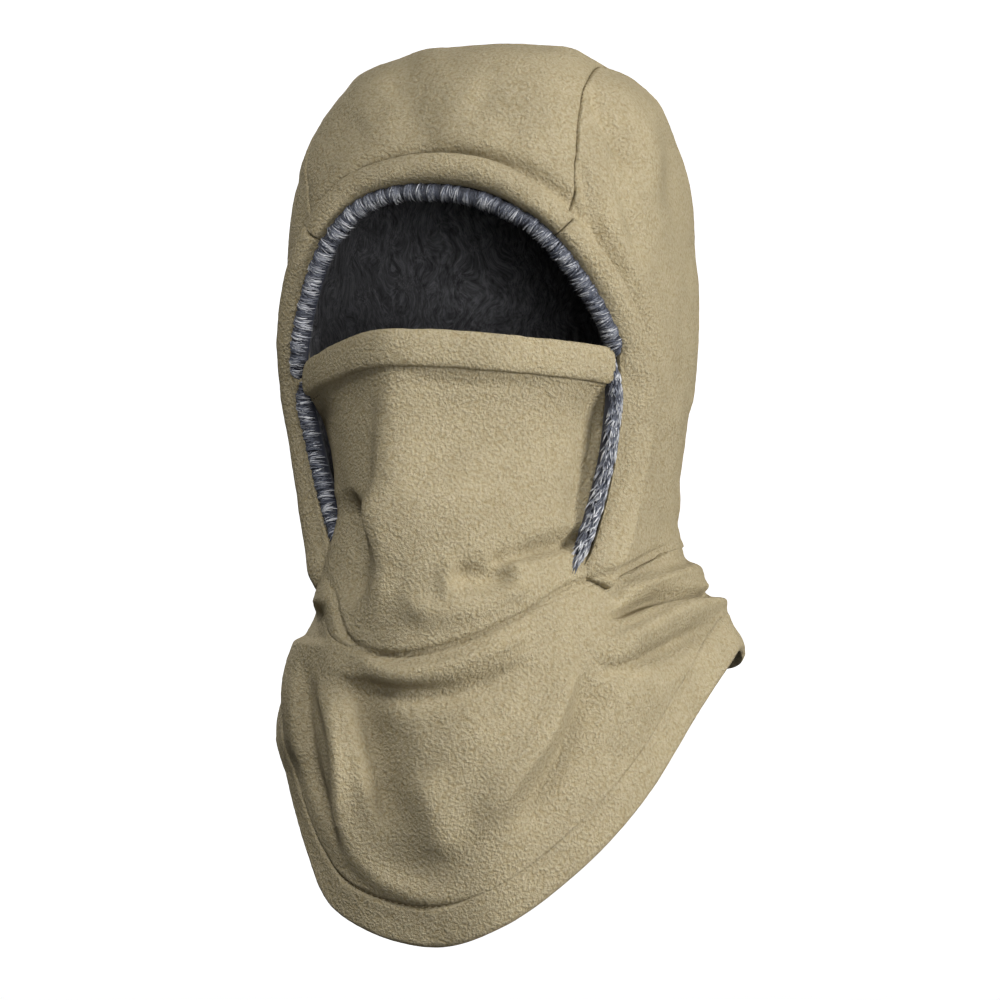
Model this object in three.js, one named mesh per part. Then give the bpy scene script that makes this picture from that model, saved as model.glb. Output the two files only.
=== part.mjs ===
// A fleece balaclava: hood, pull-down face mask, plush edge and shoulder bib.
// Millimetres. +Z is up, the face looks along -Y and the wearer's left is +X.
// The origin is the point where the top of the head meets the lining.
import * as THREE from 'three';

// ---- driving dimensions ----
const outerFleece = 3.6; // thickness of the outer cloth
const liningPlush = 3.4; // thickness of the lining
const layerGap = 0.6; // between the two cloths
const seamGap = 1.5; // from a seam's line to a panel's edge
const threadRadius = 0.5;

const liningTop = outerFleece + layerGap; // depth at which the lining starts
const liningBottom = liningTop + liningPlush;

const hood = {
  level: -112, // height of the widest section
  crown: liningBottom, // height of the crown's outer face
  reach: { left: 94, right: 90, face: 88, nape: 117 }, // from the axis to the outer face
  drawIn: { left: 12, right: 17, face: 7, nape: 15 }, // how much less that is at the neck
  squareAround: 2.65, // squareness of the level sections
  squareUp: 3, // and of the upright ones
  neckFall: 142, // from the widest section to the neck
  crownBack: 10, // how far the crown leans to the nape
};

const binding = { width: 17, proud: 3.2, sunk: 5.4 };
const fur = { halfWidth: 3.7, halfDepth: 4.6, gap: 0.5, sink: { brow: 1.5, left: 1.5, right: 4 } };
const mask = { cloth: 3, lining: 2.6, sideDepth: { left: 9, right: 12.5 }, tuck: 14 };
const maskHem = { height: 17, thickness: 6.4, wall: 2, below: 2.2 };
const elastic = { height: 10, thickness: 1.2 };
const bibHem = { height: 17, thickness: 6.4, below: 2.2 };
const faceTurn = { brow: 2.5, mouth: 10 }; // degrees that the opening is turned to the wearer's left
const label = { width: 26, height: 30, thickness: 0.8, depth: 11.6, z: -196 };

const vec = (x, y, z) => new THREE.Vector3(x, y, z);
const mix = THREE.MathUtils.lerp;
const clamp01 = (t) => Math.min(Math.max(t, 0), 1);
const bell = (x, middle, width) => Math.exp(-(((x - middle) / width) ** 2));
const mirrored = (points) => points.map(([x, y, z]) => [-x, y, z]);
const through = (points, closed = false) => new THREE.CatmullRomCurve3(
  points.map((p) => vec(...p)), closed, 'centripetal');

// ---- the form of the hood ----
function reachAt(z, way) {
  const fall = clamp01((hood.level - z) / hood.neckFall);
  return hood.reach[way] - hood.drawIn[way] * (1 - Math.cos(Math.PI * fall)) / 2;
}

// How far the sections lean to the nape at a height.
function leanAt(z) {
  const share = clamp01((z - hood.level) / (hood.crown - hood.level));
  return hood.crownBack * share * share;
}

// The point of the hood's outer face in line with a guide point, or that far below the face.
function onHood(guide, depth = 0) {
  const rise = hood.crown - hood.level;
  const acrossReach = reachAt(guide.z, guide.x < 0 ? 'right' : 'left');
  const y = guide.y - leanAt(guide.z);
  const alongReach = reachAt(guide.z, y < 0 ? 'face' : 'nape');
  const up = Math.max(guide.z - hood.level, 0);
  const [around, over] = [hood.squareAround, hood.squareUp];
  const raised = (value, power) => Math.sign(value) * Math.abs(value) ** power;
  const [u, v, w] = [guide.x / acrossReach, y / alongReach, up / rise];
  const ring = raised(u, around) * Math.sign(u) + raised(v, around) * Math.sign(v);
  const scale = (ring ** (over / around) + w ** over) ** (-1 / over);
  const shared = (ring * scale ** around) ** (over / around - 1);
  const normal = vec(
    shared * raised(u * scale, around - 1) / acrossReach,
    shared * raised(v * scale, around - 1) / alongReach,
    (w * scale) ** (over - 1) / rise,
  );
  const z = up > 0 ? hood.level + up * scale : guide.z;
  const point = vec(guide.x * scale, y * scale + leanAt(z), z);
  return point.addScaledVector(normal.normalize(), -depth);
}

function hoodNormal(point) {
  return onHood(point, 0).sub(onHood(point, 1)).normalize();
}

// ---- the lines that the cloth is cut and sewn to ----
function turnedFace([x, y, z]) {
  const down = clamp01((z + 63) / (-200 + 63));
  const angle = THREE.MathUtils.degToRad(mix(faceTurn.brow, faceTurn.mouth, down));
  return vec(x, y, z).applyAxisAngle(vec(0, 0, 1), angle).toArray();
}
const openingHalf = [
  [0, -84, -63], [33, -84, -68], [55, -78, -84], [70, -68, -105], [77, -58, -123],
  [82, -49, -141], [85, -39, -167], [80.5, -40, -199], [73, -48, -228], [68, -56, -246],
];
const openingLine = through([...mirrored(openingHalf).reverse(), ...openingHalf.slice(1)].map(turnedFace));
const browJoint = 0.357; // share of the opening's line where brow and cheek bindings meet
const crownSeamHalf = [
  [67, -50, -38], [61, -15, -10], [58, 20, -4], [59, 60, -22], [61, 90, -60], [62, 100, -112],
  [61, 98, -160], [59, 88, -200],
];
// The bib's upper and lower edges, point beside point, from the front round by the wearer's left.
const onSides = (x, y, z) => onHood(vec(x, y, z)).toArray();
const bibEdges = [
  [[0, -107, -286], [8, -90, -399]],
  [[32, -100, -280], [41, -86, -390]],
  [[56, -82, -267], [70, -69, -366]],
  [onSides(73, -54, -256), [91, -42, -334]],
  [onSides(84, -14, -244), [100, 2, -294]],
  [onSides(80, 40, -232), [101, 48, -264]],
  [onSides(57, 82, -228), [82, 98, -268]],
  [onSides(0, 101, -227), [-4, 124, -272]],
  [onSides(-57, 82, -228), [-80, 90, -260]],
  [onSides(-80, 40, -232), [-98, 46, -258]],
  [onSides(-80, -14, -242), [-96, 2, -274]],
  [onSides(-68, -54, -252), [-86, -42, -302]],
  [[-52, -83, -267], [-67, -74, -338]],
  [[-30, -100, -280], [-35, -91, -384]],
];
const neckLine = through(bibEdges.map(([upper]) => upper), true);
const bibHemLine = through(bibEdges.map(([, lower]) => lower), true);

// A place on the opening's line, with its outward and its inward-across directions.
function openingFrame(t) {
  const point = onHood(openingLine.getPointAt(t));
  const out = hoodNormal(point);
  const along = openingLine.getTangentAt(t);
  const across = vec(0, 0, 0).crossVectors(along, out).normalize();
  return { point, out, along, across };
}

function besideOpening(t, offset, depth) {
  const { point, across } = openingFrame(t);
  return onHood(point.clone().addScaledVector(across, offset), depth);
}

// ---- making closed cloth from a rule that gives points ----
function closedCloth(at, [columns, rows], [from, to], ring = false) {
  const across = ring ? columns : columns + 1;
  const corners = [];
  for (const depth of [from, to]) {
    for (let j = 0; j <= rows; j += 1) {
      for (let i = 0; i < across; i += 1) corners.push(...at(i / columns, j / rows, depth));
    }
  }
  const side = across * (rows + 1);
  const corner = (i, j, face) => face * side + j * across + (i % across);
  const faces = [];
  const quad = (a, b, c, d) => faces.push(a, b, c, a, c, d);
  for (let i = 0; i < columns; i += 1) {
    for (let j = 0; j < rows; j += 1) {
      quad(corner(i, j, 0), corner(i + 1, j, 0), corner(i + 1, j + 1, 0), corner(i, j + 1, 0));
      quad(corner(i, j, 1), corner(i, j + 1, 1), corner(i + 1, j + 1, 1), corner(i + 1, j, 1));
    }
    quad(corner(i, 0, 0), corner(i, 0, 1), corner(i + 1, 0, 1), corner(i + 1, 0, 0));
    quad(corner(i, rows, 0), corner(i + 1, rows, 0), corner(i + 1, rows, 1), corner(i, rows, 1));
  }
  for (let j = 0; j < rows && !ring; j += 1) {
    quad(corner(0, j, 0), corner(0, j + 1, 0), corner(0, j + 1, 1), corner(0, j, 1));
    quad(corner(columns, j, 0), corner(columns, j, 1), corner(columns, j + 1, 1), corner(columns, j + 1, 0));
  }
  return facingOut(corners, faces);
}

function facingOut(corners, faces) {
  const volume = faces.reduce((sum, _, k) => {
    if (k % 3) return sum;
    const [a, b, c] = faces.slice(k, k + 3).map((n) => vec(...corners.slice(3 * n, 3 * n + 3)));
    return sum + a.dot(b.cross(c));
  }, 0);
  const turned = volume < 0 ? faces.map((_, k) => faces[k - (k % 3) + 2 - (k % 3)]) : faces;
  const geometry = new THREE.BufferGeometry();
  geometry.setAttribute('position', new THREE.Float32BufferAttribute(corners, 3));
  geometry.setIndex(turned);
  geometry.computeVertexNormals();
  return geometry;
}

// A solid rod of any section: frameAt gives a point and two directions, outline gives the section.
function rod(frameAt, outline, steps, closed = false) {
  const sides = outline.length;
  const corners = [];
  const rings = closed ? steps : steps + 1;
  for (let j = 0; j < rings; j += 1) {
    const { point, x, y } = frameAt(j / steps);
    for (const [a, b] of outline) {
      corners.push(...point.clone().addScaledVector(x, a).addScaledVector(y, b));
    }
  }
  const faces = [];
  for (let j = 0; j < steps; j += 1) {
    for (let i = 0; i < sides; i += 1) {
      const [a, b] = [j * sides + i, j * sides + ((i + 1) % sides)];
      const [c, d] = [a, b].map((n) => (n + sides) % (rings * sides));
      faces.push(a, b, d, a, d, c);
    }
  }
  for (let i = 1; i < sides - 1 && !closed; i += 1) {
    const last = steps * sides;
    faces.push(0, i + 1, i, last, last + i, last + i + 1);
  }
  return facingOut(corners, faces);
}

// The same with a bore right through it, for a sleeve.
function sleeve(frameAt, outline, bore, steps) {
  const sides = outline.length;
  const corners = [];
  for (const shape of [outline, bore]) {
    for (let j = 0; j <= steps; j += 1) {
      const { point, x, y } = frameAt(j / steps);
      for (const [a, b] of shape) {
        corners.push(...point.clone().addScaledVector(x, a).addScaledVector(y, b));
      }
    }
  }
  const inner = sides * (steps + 1);
  const faces = [];
  for (let i = 0; i < sides; i += 1) {
    const next = (i + 1) % sides;
    for (let j = 0; j < steps; j += 1) {
      const [a, b, c, d] = [i, next, sides + i, sides + next].map((n) => n + j * sides);
      faces.push(a, b, d, a, d, c, inner + a, inner + d, inner + b, inner + a, inner + c, inner + d);
    }
    const [a, b] = [i + steps * sides, next + steps * sides];
    faces.push(i, inner + i, inner + next, i, inner + next, next);
    faces.push(a, inner + b, inner + a, a, b, inner + b);
  }
  return facingOut(corners, faces);
}

function oval(halfX, halfY, sides, power = 2, shift = 0) {
  return Array.from({ length: sides }, (_, i) => {
    const turn = (2 * Math.PI * i) / sides;
    const bend = (value) => Math.sign(value) * Math.abs(value) ** (2 / power);
    return [halfX * bend(Math.cos(turn)), shift + halfY * bend(Math.sin(turn))];
  });
}

// A smooth surface between four lines: bottom and top run along u, left and right along v.
function between(bottom, top, left, right) {
  return (u, v) => {
    const rails = bottom(u).lerp(top(u), v).add(left(v).lerp(right(v), u));
    const corners = bottom(0).lerp(bottom(1), u).lerp(top(0).lerp(top(1), u), v);
    return rails.sub(corners);
  };
}

// The same surface with its edges drawn back from the lines by a gap.
function drawnBack(at, gap) {
  const keep = (share, length) => mix(gap / length, 1 - gap / length, share);
  return (u, v, depth) => {
    const wide = at(0, v, 0).distanceTo(at(1, v, 0));
    const tall = at(u, 0, 0).distanceTo(at(u, 1, 0));
    return at(keep(u, wide), keep(v, tall), depth);
  };
}

// ---- hood panels and their lining ----
const halfBand = binding.width / 2;
const maskOnNeck = { left: 0.198, right: 0.845 }; // where the mask's visible width ends
const cheekOnNeck = { left: 0.2435, right: 0.796 }; // shares of the neck's line where the opening ends
const seamOnNeck = { left: 0.4286, right: 0.5714 }; // and where the crown's seams end

// A share of one cheek's binding, from the brow to the neck, as a share of the whole line.
const cheekShare = (side, t) => (side > 0 ? mix(1 - browJoint, 1, t) : mix(browJoint, 0, t));
const bandEdgeAt = (side) => (t) => besideOpening(cheekShare(side, t), -halfBand, 0);

function crownSeam(side, name) {
  const start = bandEdgeAt(side)(0);
  const half = side > 0 ? crownSeamHalf : mirrored(crownSeamHalf);
  const end = onHood(neckLine.getPoint(seamOnNeck[name]));
  return through([start.toArray(), ...half, end.toArray()]);
}
const seams = { left: crownSeam(1, 'left'), right: crownSeam(-1, 'right') };

const crownAt = (() => {
  const brow = (u) => besideOpening(mix(browJoint, 1 - browJoint, u), -halfBand, 0);
  const nape = (u) => neckLine.getPoint(mix(seamOnNeck.right, seamOnNeck.left, u));
  const rule = between(brow, nape, (v) => seams.right.getPointAt(v), (v) => seams.left.getPointAt(v));
  return drawnBack((u, v, depth) => onHood(rule(u, v), depth), seamGap);
})();

function sideAt(side, name) {
  const corner = 0.03; // the first row stays clear of the corner where the two lines meet
  const front = bandEdgeAt(side);
  const back = (v) => seams[name].getPointAt(v);
  const neck = (u) => neckLine.getPoint(mix(cheekOnNeck[name], seamOnNeck[name], u));
  const top = (u) => front(0).lerp(back(0), u);
  const rule = between(top, neck, front, back);
  return drawnBack((u, v, depth) => onHood(rule(u, mix(corner, 1, v)), depth), seamGap);
}

// ---- the binding and the plush edge round the face ----
function besideFrame(offset, sink, from, to) {
  return (share) => {
    const { point, out, across } = openingFrame(mix(from, to, share));
    const place = point.addScaledVector(across, offset).addScaledVector(out, -sink);
    return { point: place, x: across, y: out };
  };
}

const bandHalfDepth = (binding.proud + binding.sunk) / 2;
const bandShift = (binding.proud - binding.sunk) / 2;
const bandOutline = oval(halfBand - seamGap / 2, bandHalfDepth, 12, 2.6, bandShift);
const furOffset = halfBand + fur.gap + fur.halfWidth;
const furOutline = oval(fur.halfWidth, fur.halfDepth, 8);
const jointGap = 0.0012; // half the gap between two lengths of binding, as a share of the line
const lowEnd = 0.006; // the binding stops this share short of the neck seam

// Turns a rule for a face into a rule for any depth below it.
function sunkRule(face, ring = false) {
  const step = 0.004;
  const wrap = (u) => (ring ? (u + 1) % 1 : clamp01(u));
  return (u, v, depth) => {
    const alongU = face(wrap(u + step), v).sub(face(wrap(u - step), v));
    const alongV = face(u, clamp01(v + step)).sub(face(u, clamp01(v - step)));
    return face(u, v).addScaledVector(alongV.cross(alongU).normalize(), -depth);
  };
}

// ---- the mask ----
const maskHemLine = through([
  [-62, -67, -154], [-46, -84, -152], [-25, -100, -149], [-8, -109, -147.5], [8, -109, -147.5],
  [27, -102, -148.5], [48, -90, -150], [69, -68, -151.5], [83, -46, -152.5],
]);

function maskHemFrame(share) {
  const along = maskHemLine.getTangentAt(share);
  const out = vec(-along.y, along.x, 0).negate().normalize();
  return { point: maskHemLine.getPointAt(share), x: out, y: vec(0, 0, 1) };
}

const maskTopAt = 0.5; // share of the cheek's line beside the top of the mask's panel
const maskLowAt = 0.992;
const chinBulge = 9;
const edgeClear = 2; // from the plush to the mask's visible width
const sideDepthAt = (side) => (side > 0 ? mask.sideDepth.left : mask.sideDepth.right);
const furInner = halfBand + fur.gap + 2 * fur.halfWidth; // from the binding's middle to the plush's edge

// The face of the mask between the plush edges, u from right to left and v from top to bottom.
const maskMiddle = (() => {
  const edgeLine = (side) => (v) => {
    const share = cheekShare(side, mix(maskTopAt, maskLowAt, v));
    return besideOpening(share, furInner + edgeClear, sideDepthAt(side)).add(vec(0, 0, -4 * v ** 6));
  };
  const top = (u) => {
    const nearest = u < 0.5 ? edgeLine(-1)(0) : edgeLine(1)(0);
    const under = maskHemLine.getPointAt(u).add(vec(0, 0, -maskHem.height / 2 - maskHem.below));
    return under.lerp(nearest, Math.abs(2 * u - 1) ** 8);
  };
  const bottom = (u) => {
    const nearest = u < 0.5 ? edgeLine(-1)(1) : edgeLine(1)(1);
    const share = mix(maskOnNeck.right - 1, maskOnNeck.left, u);
    const above = neckLine.getPoint((share + 1) % 1).add(vec(0, 0, seamGap + 0.5));
    return above.lerp(nearest, Math.abs(2 * u - 1) ** 9);
  };
  return between(top, bottom, edgeLine(-1), edgeLine(1));
})();

function maskFace(u, v) {
  const tuckShare = 0.1; // the share of the width that turns in behind each plush edge
  const inner = (u - tuckShare) / (1 - 2 * tuckShare);
  if (inner > 0 && inner < 1) {
    const point = maskMiddle(inner, v);
    point.y -= chinBulge * bell(inner, 0.5, 0.16) * bell(v, 0.64, 0.3);
    return point;
  }
  const side = inner <= 0 ? -1 : 1;
  const past = (side < 0 ? tuckShare - u : u - 1 + tuckShare) / tuckShare;
  const share = cheekShare(side, mix(maskTopAt, maskLowAt, v));
  const place = besideOpening(share, furInner + edgeClear - mask.tuck * past, sideDepthAt(side));
  return place.add(vec(0, 0, -4 * v ** 6)); // the lower corners reach the neck seam
}
const maskAt = sunkRule(maskFace);

// ---- the bib ----
const bibFolds = [ // middle and width round the ring, middle and width down the bib, height
  [0.0, 0.08, 0.1, 0.08, 3], [0.0, 0.11, 0.36, 0.14, -3], [0.06, 0.05, 0.72, 0.35, 3],
  [0.945, 0.035, 0.5, 0.4, 4], [0.9, 0.025, 0.5, 0.35, -3.5], [0.16, 0.05, 0.35, 0.25, -4],
  [0.23, 0.04, 0.5, 0.3, 4], [0.84, 0.04, 0.6, 0.3, 3], [0.32, 0.03, 0.3, 0.2, -3],
  [0.42, 0.04, 0.6, 0.3, 3], [0.6, 0.05, 0.6, 0.3, 3], [0.5, 0.04, 0.6, 0.4, -2],
];
const aroundRing = (u, middle) => Math.abs(((u - middle + 1.5) % 1) - 0.5);
const bibSag = 5; // how far the bib stands out from a straight drop

function bibFace(u, v) {
  const neck = neckLine.getPoint(u).add(vec(0, 0, -seamGap));
  const hem = bibHemLine.getPoint(u);
  const flare = v ** 1.3; // the bib clings to the neck before it spreads
  const point = vec(mix(neck.x, hem.x, flare), mix(neck.y, hem.y, flare), mix(neck.z, hem.z, v));
  const out = vec(point.x, point.y, 0).normalize();
  let stand = bibSag * Math.sin(Math.PI * v) ** 1.5;
  for (const [round, wide, down, tall, height] of bibFolds) {
    stand += height * bell(aroundRing(u, round), 0, wide) * bell(v, down, tall) * clamp01(v * 8);
  }
  return point.addScaledVector(out, stand);
}
const bibAt = sunkRule(bibFace, true);

function bibHemFrame(share) {
  const u = share % 1;
  const top = bibFace(u, 1);
  const down = top.clone().sub(bibFace(u, 0.96)).normalize();
  const along = bibFace((u + 0.002) % 1, 1).sub(bibFace((u + 0.998) % 1, 1));
  const out = vec(0, 0, 0).crossVectors(down, along).normalize();
  const place = top.addScaledVector(down, bibHem.height / 2 + bibHem.below).addScaledVector(out, -1);
  return { point: place, x: out, y: down };
}

// ---- threads ----
const threadOutline = oval(threadRadius, threadRadius, 4);

function threadOnHood(line, from, to) {
  return (share) => {
    const place = onHood(line.getPointAt(mix(from, to, share)), 1);
    const out = hoodNormal(place);
    const along = line.getTangentAt(mix(from, to, share));
    return { point: place, x: out, y: vec(0, 0, 0).crossVectors(along, out).normalize() };
  };
}

function threadAt(pointAt) {
  return (share) => ({ point: pointAt(share), x: pointAt(share).setZ(0).normalize(), y: vec(0, 0, 1) });
}

// ---- the assembly ----
const cloth = {
  fleece: { color: 0xab9d7d, roughness: 0.95 },
  lining: { color: 0x2a2a2b, roughness: 0.95 },
  fur: { color: 0xa39d96, roughness: 0.9 },
  thread: { color: 0x8f8163, roughness: 0.8 },
  elastic: { color: 0xd8d4ca, roughness: 0.8 },
  label: { color: 0xf0efec, roughness: 0.7 },
};
const balaclava = new THREE.Group();

function add(name, finish, geometry) {
  const mesh = new THREE.Mesh(geometry, new THREE.MeshStandardMaterial({ ...cloth[finish], metalness: 0 }));
  mesh.name = name;
  balaclava.add(mesh);
  return mesh;
}

const outside = [0, outerFleece];
const inside = [liningTop, liningBottom];
const furEnds = { above: 0.31, below: 0.49, low: { left: 0.91, right: 0.88 } }; // round the mask's hem
const browEnds = [cheekShare(-1, furEnds.above), cheekShare(1, furEnds.above)];
const browJoints = [browJoint + jointGap, 1 - browJoint - jointGap];

add('crown_center_panel', 'fleece', closedCloth(crownAt, [8, 24], outside));
add('crown_lining', 'lining', closedCloth(crownAt, [8, 24], inside));
add('brow_binding', 'fleece', rod(besideFrame(0, 0, ...browJoints), bandOutline, 22));
add('fur_trim_brow', 'fur', rod(besideFrame(furOffset, fur.sink.brow, ...browEnds), furOutline, 30));

for (const [name, side] of [['left', 1], ['right', -1]]) {
  const panel = sideAt(side, name);
  const band = [cheekShare(side, jointGap * 3), cheekShare(side, 1 - lowEnd)];
  const plush = [cheekShare(side, furEnds.below), cheekShare(side, furEnds.low[name])];
  add(`side_panel_${name}`, 'fleece', closedCloth(panel, [12, 18], outside));
  add(`side_lining_${name}`, 'lining', closedCloth(panel, [12, 18], inside));
  add(`crown_seam_${name}`, 'thread', rod(threadOnHood(seams[name], 0.03, 0.99), threadOutline, 36));
  add(`cheek_binding_${name}`, 'fleece', rod(besideFrame(0, 0, ...band), bandOutline, 20));
  add(`fur_trim_${name}`, 'fur', rod(besideFrame(furOffset, fur.sink[name], ...plush), furOutline, 14));
}

const maskLiningTop = mask.cloth + 0.5;
const hemOutline = oval(maskHem.thickness / 2, maskHem.height / 2, 12, 3);
const hemBore = oval(maskHem.thickness / 2 - maskHem.wall, maskHem.height / 2 - maskHem.wall, 12, 3);
const tape = [[-1, -1], [1, -1], [1, 1], [-1, 1]].map(([x, y]) => [x * elastic.thickness / 2, y * elastic.height / 2]);
const withinHem = (share) => maskHemFrame(mix(0.02, 0.98, share));
const underHem = (share) => {
  const frame = maskHemFrame(mix(0.01, 0.99, share));
  frame.point.z -= (maskHem.height + maskHem.below) / 2;
  return frame;
};

add('mask_top_hem', 'fleece', sleeve(maskHemFrame, hemOutline, hemBore, 26));
add('mask_hem_elastic', 'elastic', rod(withinHem, tape, 26));
add('mask_hem_stitching', 'thread', rod(underHem, threadOutline, 32));
add('mask_face_panel', 'fleece', closedCloth(maskAt, [20, 10], [0, mask.cloth]));
add('mask_lining', 'lining', closedCloth(maskAt, [20, 10], [maskLiningTop, maskLiningTop + mask.lining]));

const bibRound = 48;
const aboveHem = (share) => {
  const frame = bibHemFrame(share);
  frame.point.addScaledVector(frame.y, -(bibHem.height + bibHem.below) / 2);
  return frame;
};
add('bib_panel', 'fleece', closedCloth(bibAt, [bibRound, 8], outside, true));
add('bib_lining', 'lining', closedCloth(bibAt, [bibRound, 8], inside, true));
add('bib_hem', 'fleece', rod(bibHemFrame, oval(bibHem.thickness / 2, bibHem.height / 2, 8, 3), bibRound, true));
add('bib_hem_stitching', 'thread', rod(aboveHem, threadOutline, bibRound, true));
add('neck_seam', 'thread', rod(threadAt((t) => neckLine.getPoint(t % 1)), threadOutline, bibRound, true));

const labelPlace = onHood(vec(0, 90, label.z), label.depth);
add('care_label', 'label', new THREE.BoxGeometry(label.width, label.thickness, label.height))
  .position.copy(labelPlace);

export default balaclava;
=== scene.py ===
import math

import bpy
import numpy as np
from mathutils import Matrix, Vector


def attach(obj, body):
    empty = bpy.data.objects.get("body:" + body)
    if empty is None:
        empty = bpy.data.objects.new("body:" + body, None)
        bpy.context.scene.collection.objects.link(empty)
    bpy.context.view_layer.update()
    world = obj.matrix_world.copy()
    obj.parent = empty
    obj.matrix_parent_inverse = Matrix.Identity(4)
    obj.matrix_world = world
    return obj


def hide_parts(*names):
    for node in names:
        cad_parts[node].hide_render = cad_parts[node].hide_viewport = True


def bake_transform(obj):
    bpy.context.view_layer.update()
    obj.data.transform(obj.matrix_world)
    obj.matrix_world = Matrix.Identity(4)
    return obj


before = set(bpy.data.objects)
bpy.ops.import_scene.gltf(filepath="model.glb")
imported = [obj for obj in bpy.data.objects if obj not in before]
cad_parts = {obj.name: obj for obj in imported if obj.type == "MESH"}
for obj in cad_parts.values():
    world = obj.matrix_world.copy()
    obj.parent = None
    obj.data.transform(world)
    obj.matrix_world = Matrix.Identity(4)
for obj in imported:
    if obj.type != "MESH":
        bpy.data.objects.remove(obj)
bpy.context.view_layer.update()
bpy.ops.object.select_all(action="DESELECT")

# Lengths are worked out in millimetres and turned to metres where a mesh is made.
mm = 0.001

# ---- the camera, level with the chin and to the wearer's left ----
cameraSetup = {"aim": (6.4, 2.7, -207.6), "azimuth": 23.0, "elevation": -5.0, "away": 1600.0, "lens": 120.1}


def cameraAxes():
    turn, tilt = math.radians(cameraSetup["azimuth"]), math.radians(cameraSetup["elevation"])
    back = Vector((math.sin(turn) * math.cos(tilt), -math.cos(turn) * math.cos(tilt), math.sin(tilt)))
    right = Vector((math.cos(turn), math.sin(turn), 0.0))
    return right, back.cross(right), back


viewRight, viewUp, viewBack = cameraAxes()
camera = bpy.data.objects.new("camera", bpy.data.cameras.new("camera"))
camera.data.lens = cameraSetup["lens"]
camera.data.sensor_width = 36.0
camera.location = (Vector(cameraSetup["aim"]) + viewBack * cameraSetup["away"]) * mm
camera.rotation_euler = viewBack.to_track_quat("Z", "Y").to_euler()
bpy.context.scene.collection.objects.link(camera)
bpy.context.scene.camera = camera


def asSeen(points):
    # Where points lie seen from the front left: millimetres across and up from the aim, at its distance.
    away = points - np.array(cameraSetup["aim"])
    scale = cameraSetup["away"] / (cameraSetup["away"] - away @ np.array(viewBack))
    return np.stack([away @ np.array(viewRight) * scale, away @ np.array(viewUp) * scale], -1)


# ---- the sizes that the cloth is cut to, as in the part itself ----
cloth = {"outer": 3.6, "liningTop": 4.2, "liningBottom": 7.6}
hood = {
    "level": -112, "crown": 7.6, "reach": {"left": 94, "right": 90, "face": 88, "nape": 117},
    "drawIn": {"left": 12, "right": 17, "face": 7, "nape": 15},
    "squareAround": 2.65, "squareUp": 3, "neckFall": 142, "crownBack": 10,
}
bandWidth, bandProud, bandSunk = 17, 3.2, 5.4
halfBand = bandWidth / 2
furSize = {"halfWidth": 3.7, "halfDepth": 4.6, "gap": 0.5, "sink": 1.5}
faceTurn = {"brow": 2.5, "mouth": 10}


def mix(a, b, share):
    return a + (b - a) * share


def bell(x, middle, width):
    return np.exp(-((x - middle) / width) ** 2)


def unit(vectors):
    return vectors / np.maximum(np.linalg.norm(vectors, axis=-1, keepdims=True), 1e-12)


def smooth(x, low, high):
    share = np.clip((x - low) / (high - low), 0, 1)
    return share * share * (3 - 2 * share)


class Line:
    # A smooth line through points. at() takes a share of its points, along() a share of its length.
    def __init__(self, points, closed=False):
        self.points = np.array(points, float)
        self.closed = closed
        ticks = np.linspace(0, 1, 1601)
        self.dense = self.at(ticks)
        steps = np.linalg.norm(np.diff(self.dense, axis=0), axis=1)
        self.reached = np.concatenate([[0], np.cumsum(steps)])
        self.length = self.reached[-1]
        self.ticks = ticks

    def at(self, share):
        share = np.asarray(share, float)
        points, count = self.points, len(self.points)
        place = (share % 1 if self.closed else np.clip(share, 0, 1)) * (count if self.closed else count - 1)
        index = np.floor(place).astype(int)
        if not self.closed:
            index = np.minimum(index, count - 2)
        weight = (place - index)[..., None]
        if self.closed:
            around = [points[(index + k) % count] for k in (-1, 0, 1, 2)]
        else:
            padded = np.concatenate([[2 * points[0] - points[1]], points, [2 * points[-1] - points[-2]]])
            around = [padded[index + k] for k in (0, 1, 2, 3)]
        a, b, c, d = around
        first, middle, last = [
            np.maximum(np.sum((p - q) ** 2, -1, keepdims=True) ** 0.25, 1e-4)
            for p, q in ((a, b), (b, c), (c, d))
        ]
        start = ((b - a) / first - (c - a) / (first + middle) + (c - b) / middle) * middle
        end = ((c - b) / middle - (d - b) / (middle + last) + (d - c) / last) * middle
        return (b + start * weight + (3 * (c - b) - 2 * start - end) * weight ** 2
                + (2 * (b - c) + start + end) * weight ** 3)

    def along(self, share):
        return self.at(np.interp(np.clip(share, 0, 1) * self.length, self.reached, self.ticks))

    def way(self, share):
        return unit(self.along(np.clip(share + 5e-4, 0, 1)) - self.along(np.clip(share - 5e-4, 0, 1)))


# ---- the form of the hood ----
def reachAt(z, way, alternative, side):
    fall = np.clip((hood["level"] - z) / hood["neckFall"], 0, 1)
    draw = (1 - np.cos(np.pi * fall)) / 2
    first = hood["reach"][way] - hood["drawIn"][way] * draw
    second = hood["reach"][alternative] - hood["drawIn"][alternative] * draw
    return np.where(side, first, second)


def leanAt(z):
    return hood["crownBack"] * np.clip((z - hood["level"]) / (hood["crown"] - hood["level"]), 0, 1) ** 2


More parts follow.
